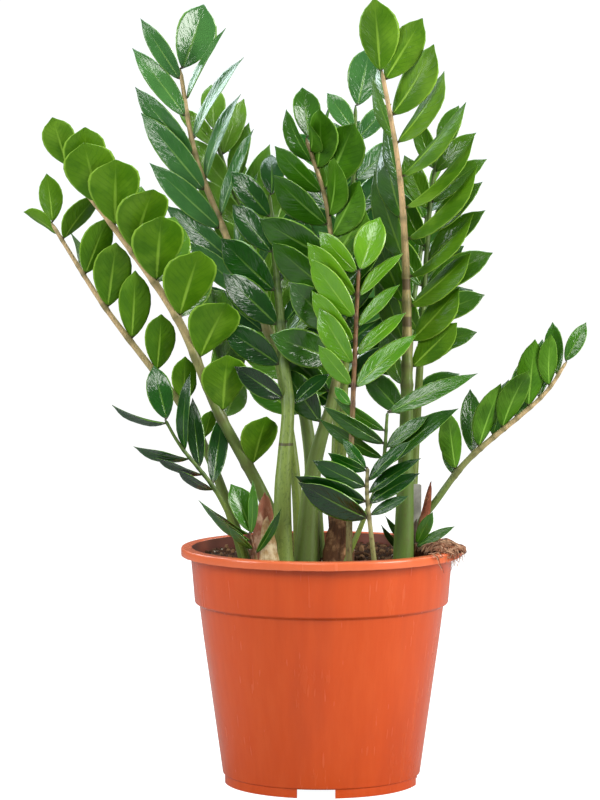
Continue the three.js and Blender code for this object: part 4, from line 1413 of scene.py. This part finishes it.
@dataclass
class Pot:
    """The nursery pot: a thin tapered wall with a collar, a rolled lip and a notched foot."""

    axis: Vector
    sides: int = 144
    rim_radius: float = 135
    height: float = 228
    wall: float = 1.8
    lip_height: float = 8
    lip_overhang: float = 8.7
    step_height: float = 172
    step_rise: float = 2.6
    collar_radius: float = 122
    step_radius: float = 117.6
    base_radius: float = 95.3
    foot_radius: float = 93.8
    foot_width: float = 3
    foot_height: float = 8.5
    wall_bend: tuple[float, float] = (4, 32)
    collar_flare: tuple[float, float] = (2.1, 26)
    floor_inset: float = 1.4
    floor: float = 2
    notches: int = 4
    notch_width: float = 36
    first_notch: float = -93.5
    drains: int = 6
    drain_radius: float = 7
    drain_at: float = 62
    drain_sides: int = 28
    lip_band: float = 2.5
    raggedness: float = 0.35
    ragged_reach: float = 0.8
    ragged_rate: float = 14
    wobble: float = 0.25
    wobble_rate: float = 1.7
    sharp_angle: float = 40

    def build(self) -> None:
        """Builds the pot and dresses it."""
        pot, cutter = self._turned(), self._cutter()
        cut = pot.modifiers.new("cut", "BOOLEAN")
        cut.operation = "DIFFERENCE"
        cut.solver = "EXACT"
        cut.object = cutter
        settled(pot)
        bpy.data.objects.remove(cutter)
        pot.data.set_sharp_from_angle(angle=math.radians(self.sharp_angle))
        own(pot, "pot_plastic", "pot", look=POT_PLASTIC.material())

    def _profile(self) -> list[tuple[float, float]]:
        """The pot's section, from the axis below to the axis above, with its corners eased.

        Returns:
            Radius and height of each point.
        """
        inside = self.rim_radius - self.lip_overhang
        under = self.height - self.wall
        step, top = self.step_height, self.height
        rise, hem = step + self.step_rise, top - self.lip_height
        ring = self.foot_radius - self.foot_width
        lip = self.rim_radius - self.wall
        raw = [
            (0, self.foot_height, 0),
            (ring, self.foot_height, 0.4),
            (ring, 0, 0.5),
            (self.foot_radius, 0, 0.5),
            (self.foot_radius, self.foot_height, 0.3),
            (self.base_radius, self.foot_height + 1, 0.6),
            (self.step_radius - self.wall_bend[0], step - self.wall_bend[1], 0),
            (self.step_radius, step, 0.8),
            (self.collar_radius, rise, 1.2),
            (self.collar_radius + self.collar_flare[0], rise + self.collar_flare[1], 0),
            (inside, under, 0.8),
            (lip, under, 0.6),
            (lip, hem, 0.4),
            (self.rim_radius, hem, 0.5),
            (self.rim_radius, top, 2.2),
            (inside - self.wall, top, 0.8),
            (self.collar_radius - self.wall, rise + 1, 1.2),
            (self.step_radius - self.wall, step + 1, 0.8),
            (self.base_radius - self.floor_inset, self.foot_height + self.floor, 1.2),
            (0, self.foot_height + self.floor, 0),
        ]
        return self._eased(raw)

    @staticmethod
    def _eased(corners: list[tuple[float, float, float]]) -> list[tuple[float, float]]:
        """Rounds each corner of a section.

        Args:
            corners: Radius, height and how far from the corner its rounding starts.

        Returns:
            The rounded section.
        """
        eased = [corners[0][:2]]
        for before, corner, after in zip(corners, corners[1:], corners[2:]):
            at, reach = Vector(corner[:2]), corner[2]
            if not reach:
                eased.append(corner[:2])
                continue
            start = at + (Vector(before[:2]) - at).normalized() * reach
            stop = at + (Vector(after[:2]) - at).normalized() * reach
            for w in (0.0, 0.25, 0.5, 0.75, 1.0):
                spot = start * (1 - w) ** 2 + at * (2 * w * (1 - w)) + stop * w * w
                eased.append((spot.x, spot.y))
        eased.append(corners[-1][:2])
        return eased

    def _turned(self) -> Piece:
        """The section turned round the axis, its lip's lower edge a little ragged.

        Returns:
            The shell, with which of its points are inside held on it.
        """
        profile = self._profile()
        rings, inner = [], []
        low_edge = self.height - self.lip_height
        brink = max(j for j, (_, z) in enumerate(profile) if z > self.height - 0.5)
        for j, (r, z) in enumerate(profile[1:-1], 1):
            outside = r > self.rim_radius - self.lip_band
            hem = math.exp(-(((z - low_edge) / self.ragged_reach) ** 2)) if outside else 0
            ring = []
            for k in range(self.sides):
                turn = math.tau * k / self.sides
                way = Vector((math.cos(turn), math.sin(turn), 0))
                ragged = self.raggedness * hem * noise.noise(Vector((turn * self.ragged_rate, 0, 3)))
                wobble = self.wobble * noise.noise(way * self.wobble_rate + Vector((0, 0, z * 0.01)))
                ring.append(way * (r + wobble) * MM + Vector((0, 0, (z + ragged) * MM)) + self.axis)
            rings.append(ring)
            inner.extend([float(j > brink and z > self.step_height)] * self.sides)
        below, above = (Vector((0, 0, z * MM)) + self.axis for _, z in (profile[0], profile[-1]))
        shell = round_piece("pot_shell", rings, below, above)
        hold(shell.data, {"inside": [*inner, 0.0, 1.0]})
        return shell

    def _cutter(self) -> Piece:
        """What is cut from the foot and the floor: the notches and the drain holes.

        Returns:
            The cutter.
        """
        tools = bmesh.new()
        sizes = (4 * self.foot_width, self.notch_width, 2 * self.foot_height)
        size = Matrix.Diagonal((*(MM * edge for edge in sizes), 1))
        for i in range(self.notches):
            turn = math.radians(self.first_notch + 360 / self.notches * i)
            place = self._out(turn, self.foot_radius - self.foot_width, 0) @ size
            bmesh.ops.create_cube(tools, size=1, matrix=place)
        radius = self.drain_radius * MM
        for i in range(self.drains):
            place = self._out(math.tau * i / self.drains, self.drain_at, self.foot_height + self.floor / 2)
            bmesh.ops.create_cone(
                tools, cap_ends=True, segments=self.drain_sides, radius1=radius, radius2=radius,
                depth=3 * self.floor * MM, matrix=place,
            )
        mesh = bpy.data.meshes.new("pot_cutter")
        tools.to_mesh(mesh)
        tools.free()
        return linked("pot_cutter", mesh)

    def _out(self, turn: float, out: float, high: float) -> Matrix:
        """The place at a turn about the pot's axis, a radius out and a height up, in millimetres."""
        moved = Matrix.Translation((out * MM, 0, high * MM))
        return Matrix.Translation(self.axis) @ Matrix.Rotation(turn, 4, "Z") @ moved


@dataclass
class Soil:
    """The potting mix and what is strewn over it."""

    axis: Vector
    level: float = 216
    swell: float = 2.2
    heap_at: tuple[float, float] = (112, -6)
    heap_height: float = 8
    heap_reach: float = 34
    brim: float = 122.7
    buried: tuple[tuple[float, float], ...] = ((93.5, 10.95), (115.35, 172.55), (119.75, 175.15))
    skin_depth: float = 12
    sides: int = 120
    rings: int = 44
    long_waves: tuple[float, float] = (0.09, 0.08)
    short_waves: tuple[float, float] = (0.17, 0.13)
    short_share: float = 0.6
    roughness: float = 1.4
    crumb_rate: float = 0.21
    # How fast the crumbs' finer waves get lower, how much finer each is, and how many there are.
    crumb_waves: tuple[float, float, int] = (0.7, 2.1, 4)

    def build(self) -> None:
        """Builds the soil and strews it."""
        soil = self._bed()
        own(soil, "potting_soil", "soil", look=SOIL_MIX.material())
        top = self._top_only(soil)
        scatter = ScatterTree()
        bits = {
            "soil_crumbs": (CRUMB, {"Density": 60000.0, "Smallest": 0.0009, "Largest": 0.0032, "Seed": 3}),
            "bark_chips": (BARK, {"Density": 7000.0, "Smallest": 0.0015, "Largest": 0.0048, "Seed": 11}),
            "pale_grains": (GRAIN, {"Density": 5000.0, "Smallest": 0.0006, "Largest": 0.0019, "Seed": 23}),
        }
        for name, (look, inputs) in bits.items():
            inputs["Material"] = look.material()
            own(scatter.make(name, top.copy(), inputs), "potting_soil")
        bpy.data.meshes.remove(top)

    def height(self, x: float, y: float) -> float:
        """How high the soil stands at a point: gently uneven, with a heap against the lip.

        Args:
            x: Across, from the pot's axis.
            y: Back, from the pot's axis.

        Returns:
            The height.
        """
        far, near = self.long_waves, self.short_waves
        uneven = math.sin(far[0] * x + 0.5) * math.cos(far[1] * y)
        uneven += self.short_share * math.sin(near[0] * x - near[1] * y)
        away = math.hypot(x - self.heap_at[0], y - self.heap_at[1]) / self.heap_reach
        return self.level + self.swell * uneven + self.heap_height * math.exp(-away * away)

    def _bed(self) -> Piece:
        """The whole body of soil, crumbly on top.

        Returns:
            The piece.
        """
        radii = [*self.buried, *((self.brim * (1 - i / self.rings), None) for i in range(self.rings))]
        rings = []
        for radius, deep in radii:
            ring = []
            for k in range(self.sides):
                turn = math.tau * k / self.sides
                x, y = radius * math.cos(turn), radius * math.sin(turn)
                rough = noise.fractal(Vector((x, y, 0)) * self.crumb_rate, *self.crumb_waves)
                z = self.height(x, y) + self.roughness * rough if deep is None else deep
                ring.append(Vector((x, y, z)) * MM + self.axis)
            rings.append(ring)
        below, above = (Vector((0, 0, z)) * MM + self.axis for z in (self.buried[0][1], self.height(0, 0)))
        return round_piece("soil_bed", rings, below, above)

    def _top_only(self, soil: Piece) -> Mesh:
        """The upper skin of the soil, for what is strewn on it.

        Args:
            soil: The whole body of soil.

        Returns:
            The skin.
        """
        skin = bmesh.new()
        skin.from_mesh(soil.data)
        low = (self.level - self.skin_depth) * MM
        deep = [f for f in skin.faces if min(v.co.z for v in f.verts) < low]
        bmesh.ops.delete(skin, geom=deep, context="FACES")
        mesh = bpy.data.meshes.new("soil_top")
        skin.to_mesh(mesh)
        skin.free()
        return mesh


@dataclass
class RootMat:
    """Fine roots that have grown up over the lip in a tangled mat."""

    axis: Vector
    center: Point = (114, -35, 226)
    size: Point = (24, 28, 10)
    lip: tuple[float, float] = (135.9, 228.3)
    lumpiness: float = 0.35
    lump_rate: float = 0.09
    edge: float = 0.93
    steps: int = 16
    taper: float = 0.6
    paleness: float = 1.7
    pale_rarity: float = 2.5
    # The strands that wander over the dome.
    strands: int = 260
    strand_radii: tuple[float, ...] = (0.35, 0.45, 0.6, 0.85)
    start_reach: float = 0.9
    strides: tuple[float, float] = (1.0, 2.8)
    lifts: tuple[float, float] = (-1.4, 1.2)
    wander: float = 0.42
    turn_back: float = 0.9
    arch: float = 1.3
    arch_span: float = 3.1
    sink: float = 0.8
    # The fine ones that cross the lip and hang down.
    hangers: int = 60
    hanger_radii: tuple[float, ...] = (0.22, 0.3, 0.42)
    hang_turns: tuple[float, float] = (-0.72, -0.06)
    stand_off: tuple[float, float] = (0.3, 3.2)
    falls: tuple[float, float] = (3, 24)
    shortest: float = 0.3
    curl: float = 0.13
    lean: float = 0.06
    crossing: float = 0.33
    inside: float = 7
    start_rise: float = 1.6
    hump: float = 1.2
    sway: float = 0.12
    shiver: float = 0.011
    # The core under them.
    core_rows: int = 9
    core_sides: int = 40
    core_sink: float = 2.2
    core_roughness: float = 0.8
    core_rate: float = 0.4
    strand_sides: int = 5
    seed: int = 5

    def build(self) -> None:
        """Builds the core and the strands over it."""
        look = ROOT_SKIN.material()
        # The core wears the painted shade between the strands.
        own(self._core(), "root_mat", "surface_roots", look=ROOT_SHADE.material())
        own(self._strands(TubeTree(), look), "root_mat", "surface_roots")

    def _at(self, x: float, y: float, z: float) -> Vector:
        """A point of the mat, in metres, from its place about the mat's middle."""
        return Vector((self.center[0] + x, self.center[1] + y, z)) * MM + self.axis

    def _dome(self, x: float, y: float) -> float:
        """How high the mat stands at a place from its middle.

        Args:
            x: Across.
            y: Back.

        Returns:
            The height.
        """
        edge = 1 - (x / self.size[0]) ** 2 - (y / self.size[1]) ** 2
        lump = 1 + self.lumpiness * noise.noise(Vector((x, y, 0)) * self.lump_rate)
        return self.center[2] + self.size[2] * lump * math.sqrt(edge) if edge > 0 else self.center[2]

    def _core(self) -> Piece:
        """A low dome that fills the mat under its strands.

        Returns:
            The piece.
        """
        rings = []
        for j in range(self.core_rows):
            r = self.edge * (1 - j / self.core_rows)
            ring = []
            for k in range(self.core_sides):
                turn = math.tau * k / self.core_sides
                x, y = self.size[0] * r * math.cos(turn), self.size[1] * r * math.sin(turn)
                rough = self.core_roughness * noise.noise(Vector((x, y, 4)) * self.core_rate)
                ring.append(self._at(x, y, self._dome(x, y) - self.core_sink + rough))
            rings.append(ring)
        below, above = (self._at(0, 0, z) for z in (self.center[2] - 1.5, self._dome(0, 0) - 2))
        return round_piece("root_core", rings, below, above)

    def _strands(self, tubes: TubeTree, look: Look) -> Piece:
        """The strands, most of them wandering over the dome and some that hang over the lip.

        Args:
            tubes: The tree that sweeps them.
            look: Their finish.

        Returns:
            The piece.
        """
        pick = random.Random(self.seed)
        lines, thick, tone = [], [], []
        for _ in range(self.strands):
            turn, out = pick.uniform(0, math.tau), pick.uniform(0, self.start_reach)
            x, y = self.size[0] * out * math.cos(turn), self.size[1] * out * math.sin(turn)
            way, stride = pick.uniform(0, math.tau), pick.uniform(*self.strides)
            radius, lift = pick.choice(self.strand_radii), pick.uniform(*self.lifts)
            own_tone = self._tone(pick)
            line = []
            for i in range(self.steps):
                w = i / (self.steps - 1)
                way += pick.uniform(-self.wander, self.wander)
                if math.hypot(x / self.size[0], y / self.size[1]) > self.edge:
                    way = math.atan2(-y, -x) + pick.uniform(-self.turn_back, self.turn_back)
                x, y = x + stride * math.cos(way), y + stride * math.sin(way)
                high = self._dome(x, y) + lift + self.arch * math.sin(self.arch_span * w) - self.sink
                line.append(self._at(x, y, high))
                thick.append(radius * MM * (1 - self.taper * w))
                tone.append(own_tone)
            lines.append(line)
        for _ in range(self.hangers):
            line = self._hanger(pick)
            own_tone = self._tone(pick)
            radius = pick.choice(self.hanger_radii)
            thick.extend(radius * MM * (1 - self.taper * i / len(line)) for i in range(len(line)))
            tone.extend([own_tone] * len(line))
            lines.append(line)
        held = {"thick": thick, "shade": tone}
        return tubes.grow("root_strands", lines, held, look, self.strand_sides)

    def _tone(self, pick: random.Random) -> float:
        """The tone of one strand: mostly dark, and now and then pale."""
        return self.paleness * pick.random() ** self.pale_rarity

    def _hanger(self, pick: random.Random) -> list[Vector]:
        """A fine root that crosses the lip and hangs down outside it.

        Args:
            pick: Where its draws come from.

        Returns:
            Its points, in metres.
        """
        edge, top = self.lip
        turn = pick.uniform(*self.hang_turns)
        stand, fall = pick.uniform(*self.stand_off), pick.uniform(*self.falls)
        fall *= pick.uniform(self.shortest, 1)
        curl, lean = (pick.uniform(-most, most) for most in (self.curl, self.lean))
        line = []
        for i in range(self.steps):
            w = i / (self.steps - 1)
            over = min(1.0, w * 3)
            down = max(0.0, w - self.crossing) / (1 - self.crossing)
            radius = edge - self.inside * (1 - over) + stand * over
            z = top + self.start_rise * (1 - over) + self.hump * math.sin(math.pi * over) - fall * down
            z += self.sway * fall * math.sin(3 * math.pi * down)
            at = turn + lean * w + curl * down * down + self.shiver * math.sin(9 * w + 70 * turn)
            line.append(Vector((radius * math.cos(at), radius * math.sin(at), z)) * MM + self.axis)
        return line


@dataclass(frozen=True)
class Scale:
    """One dry scale, by the name of its solid."""

    name: str
    look: Husk
    foot: Point
    point: Point
    width: float
    cup: float
    facing: float
    layers: int = 1


SCALES = (
    Scale("sheath_red", Husk.RED, (-57, -54, 196), (-54, -54, 283), 27, 70, -100, 2),
    Scale("sheath_straw", Husk.STRAW, (-46, -89, 196), (-51, -87, 264), 23, 60, -60, 2),
    Scale("husk_brown", Husk.BROWN, (13, -66, 196), (18, -63, 274), 32, 80, -95, 3),
    Scale("husk_inner", Husk.BROWN, (20, -40, 196), (9, -37, 308), 18, 60, -70),
    Scale("husk_slanted", Husk.GREY, (73, -34, 196), (90, -34, 256), 12, 60, -90),
    Scale("sheath_spike", Husk.RUST, (88, -24, 196), (104, -22, 290), 12, 50, -90, 2),
)


@dataclass
class DryScales:
    """The papery scales that once wrapped the stalks."""

    axis: Vector
    rows: int = 30
    columns: int = 12
    thickness: float = 0.7
    layer_shrink: float = 0.14
    layer_gap: float = 1.1
    blunt_tip: float = 0.995
    hollow: float = 0.25
    hollow_power: float = 1.5
    tear: float = 0.16
    tear_rates: tuple[float, float] = (6, 1.3)
    notch: float = 0.07
    notch_rate: float = 3.4
    pleat: float = 0.5
    pleat_rate: float = 9
    crumple: float = 0.6
    crumple_rates: tuple[float, float] = (2, 5)

    def build(self) -> None:
        """Builds each scale and dresses it."""
        for scale in SCALES:
            sheet = self._sheet(scale)
            wall = sheet.modifiers.new("wall", "SOLIDIFY")
            wall.thickness = self.thickness * MM
            wall.offset = 0
            settled(sheet)
            own(sheet, "dry_scale", scale.name, look=scale.look.value.material())

    def _sheet(self, scale: Scale) -> Piece:
        """A curved sheet with a torn edge and lengthwise folds.

        Args:
            scale: Its plan.

        Returns:
            The sheet, before it has a thickness.
        """
        low = Vector(scale.foot)
        rise = Vector(scale.point) - low
        up = rise.normalized()
        facing = math.radians(scale.facing)
        front = Vector((math.cos(facing), math.sin(facing), 0))
        front = (front - up * front.dot(up)).normalized()
        across = up.cross(front)
        hollow = scale.width * self.hollow * math.tan(math.radians(scale.cup) / 2)
        wide = self.columns + 1
        tear_up, tear_across = self.tear_rates
        crumple_across, crumple_up = self.crumple_rates
        points, faces, map_at = [], [], []
        for layer in range(scale.layers):
            start = len(points)
            size = 1 - self.layer_shrink * layer
            for i in range(self.rows + 1):
                s = min(i / self.rows, self.blunt_tip)
                for j in range(wide):
                    q = 2 * j / self.columns - 1
                    torn = noise.noise(Vector((s * tear_up, q * tear_across, 7 * layer)))
                    torn *= self.tear * abs(q)
                    notch = noise.noise(Vector((q * self.notch_rate, 5 + layer, 0))) * self.notch * s
                    w = scale.width / 2 * math.sqrt(1 - s * s) * q * (1 + torn) * size
                    pleat = self.pleat * math.sin(q * self.pleat_rate + layer) * (1 - s)
                    pleat += self.crumple * noise.noise(Vector((q * crumple_across, s * crumple_up, 1)))
                    depth = -hollow * abs(q) ** self.hollow_power + pleat + self.layer_gap * layer
                    at = low + rise * (s * size * (1 + notch)) + across * w + front * depth
                    points.append(at * MM + self.axis)
                    map_at.append((s, (q + 1) / 2))
            corners = (start + i * wide + j for i in range(self.rows) for j in range(self.columns))
            faces.extend((a, a + 1, a + wide + 1, a + wide) for a in corners)
        sheet = piece_of(scale.name + "_leaf", points, faces)
        held = sheet.data.uv_layers.new(name="scale")
        for loop in sheet.data.loops:
            held.data[loop.index].uv = map_at[loop.vertex_index]
        return sheet


@dataclass
class Label:
    """A bare plastic plant label stuck in the soil, grey with one coloured edge."""

    axis: Vector
    center: Point = (91, -2, 242)
    size: Point = (10, 1.2, 92)
    turn: float = -8
    corner: float = 1.8
    corner_steps: int = 4
    rounding: float = 0.2

    def build(self) -> None:
        """Builds the label and dresses it."""
        width, thick, tall = (d * MM for d in self.size)
        corner = self.corner * MM
        outline = []
        for cx, cz, start in ((1, 1, 0), (-1, 1, 90), (-1, -1, 180), (1, -1, 270)):
            for w in range(self.corner_steps + 1):
                angle = math.radians(start + 90 / self.corner_steps * w)
                x = cx * (width / 2 - corner) + corner * math.cos(angle)
                outline.append((x, cz * (tall / 2 - corner) + corner * math.sin(angle)))
        place = Matrix.Translation(self.axis + Vector(self.center) * MM)
        place = place @ Matrix.Rotation(math.radians(self.turn), 4, "Z")
        points = [place @ Vector((x, side * thick / 2, z)) for side in (-1, 1) for x, z in outline]
        n = len(outline)
        faces = [tuple(range(n)), tuple(range(2 * n - 1, n - 1, -1))]
        faces += [(i, i + n, (i + 1) % n + n, (i + 1) % n) for i in range(n)]
        plate = piece_of("label_plate", points, faces, smooth=False)
        hold(plate.data, {"across": [x / width + 0.5 for x, _ in outline] * 2})
        bevel = plate.modifiers.new("rounding", "BEVEL")
        bevel.width = self.rounding * MM
        bevel.segments = 2
        settled(plate)
        own(plate, "label_plastic", "label", look=LABEL_PLASTIC.material())


# ---- The studio ----

# Each lamp's name, place, size, power and tint.
LAMPS = (
    ("key_right", (1.6, -0.9, 1.0), (0.8, 1.2), 41, (1.0, 0.99, 0.95)),
    ("soft_left", (-1.7, -0.8, 1.0), (0.6, 1.2), 22, (0.97, 0.99, 1.0)),
    ("front_soft", (-0.6, -2.6, 1.9), (1.3, 0.9), 33, (1.0, 1.0, 0.96)),
    ("sky_top", (0.1, 0.3, 2.3), (1.1, 1.1), 23, (0.84, 0.95, 1.0)),
    ("back_left", (-1.3, 1.2, 1.5), (0.8, 1.0), 20, (0.82, 0.94, 1.0)),
    ("back_right", (1.3, 1.2, 1.3), (0.7, 1.0), 16, (1.0, 1.0, 0.95)),
)


@dataclass
class Studio:
    """The camera, the pale floor and the soft lights."""

    axis: Vector
    distance: float = 3.1
    aside: float = -0.0207
    height: float = 0.585
    tilt: float = 3.988
    lens: float = 145.71
    sensor: float = 36
    sight: float = 50
    floor_reach: float = 14
    floor_tones: tuple[float, float] = (155.48, 163.75)
    backdrop: tuple[float, ...] = (0.95, 0.98, 1.0, 1)
    backdrop_glow: float = 1.1
    room_light: float = 0.14
    aim_height: float = 0.4

    def build(self) -> None:
        """Sets up the camera, the floor and the lights."""
        self._camera()
        self._floor()
        self._room()
        for lamp in LAMPS:
            self._lamp(*lamp)

    def _camera(self) -> None:
        """The camera of the photograph's view."""
        data = bpy.data.cameras.new("camera")
        data.sensor_fit = "VERTICAL"
        data.sensor_height = self.sensor
        data.lens = self.lens
        data.clip_end = self.sight
        camera = linked("camera", data)
        camera.location = (self.axis.x + self.aside, self.axis.y - self.distance, self.height)
        camera.rotation_euler = (math.radians(90 - self.tilt), 0, 0)
        bpy.context.scene.camera = camera

    def _floor(self) -> None:
        """A wide white floor with the faintest grain, as bright to the camera as the backdrop."""
        ways = ((-1, -1), (1, -1), (1, 1), (-1, 1))
        corners = [(x * self.floor_reach, y * self.floor_reach, 0) for x, y in ways]
        floor = piece_of("studio_floor", corners, [(0, 1, 2, 3)], smooth=False)
        skin = Shading("studio_floor", gloss=0.1)
        low, high = ((tone,) * 3 for tone in self.floor_tones)
        colour = skin.blend(skin.noise(skin.place(), 30.0, 3.0, 0.5), low, high)
        seen = skin.run("ShaderNodeLightPath")
        skin.wire(skin.shader, Base_Color=colour, Roughness=0.9)
        skin.wire(skin.shader, Emission_Color=(1, 1, 1, 1), Emission_Strength=seen)
        floor.data.materials.append(skin.made)

    def _room(self) -> None:
        """A backdrop that is white to the camera and gives the room a dim light."""
        world = bpy.data.worlds.new("studio_world")
        world.use_nodes = True
        room = TreeMaker(world.node_tree)
        seen = room.run("ShaderNodeLightPath")
        glow = room.run("ShaderNodeMapRange", seen, To_Min=self.room_light, To_Max=self.backdrop_glow)
        room.wire(world.node_tree.nodes["Background"], Color=self.backdrop, Strength=glow)
        bpy.context.scene.world = world
        bpy.context.scene.view_settings.view_transform = "Standard"

    def _lamp(self, name: str, place: Point, size: tuple[float, float], power: float, tint: Point) -> None:
        """A large soft lamp that points at the plant.

        Args:
            name: Its name.
            place: Where it stands, from the foot of the pot's axis.
            size: How wide and tall it is.
            power: How strong it is, in watts.
            tint: Its colour.
        """
        data = bpy.data.lights.new(name, "AREA")
        data.shape = "RECTANGLE"
        data.size, data.size_y = size
        data.energy = power
        data.color = tint
        lamp = linked(name, data)
        lamp.location = Vector(place) + self.axis
        aim = Vector((self.axis.x, self.axis.y, self.aim_height)) - lamp.location
        lamp.rotation_euler = aim.to_track_quat("-Z", "Y").to_euler()


def main() -> None:
    """Builds the plant in order and reports each piece."""
    logging.basicConfig(level=logging.INFO, format="%(name)s: %(message)s")
    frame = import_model()
    low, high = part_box("pot")
    axis = Vector(((low[0] + high[0]) / 2, (low[1] + high[1]) / 2, 0))
    for part in (Studio, Pot, Soil, RootMat, DryScales, Label):
        part(axis).build()
    Foliage(axis, frame["nodes"]).build()
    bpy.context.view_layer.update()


if __name__ == "__main__":
    main()
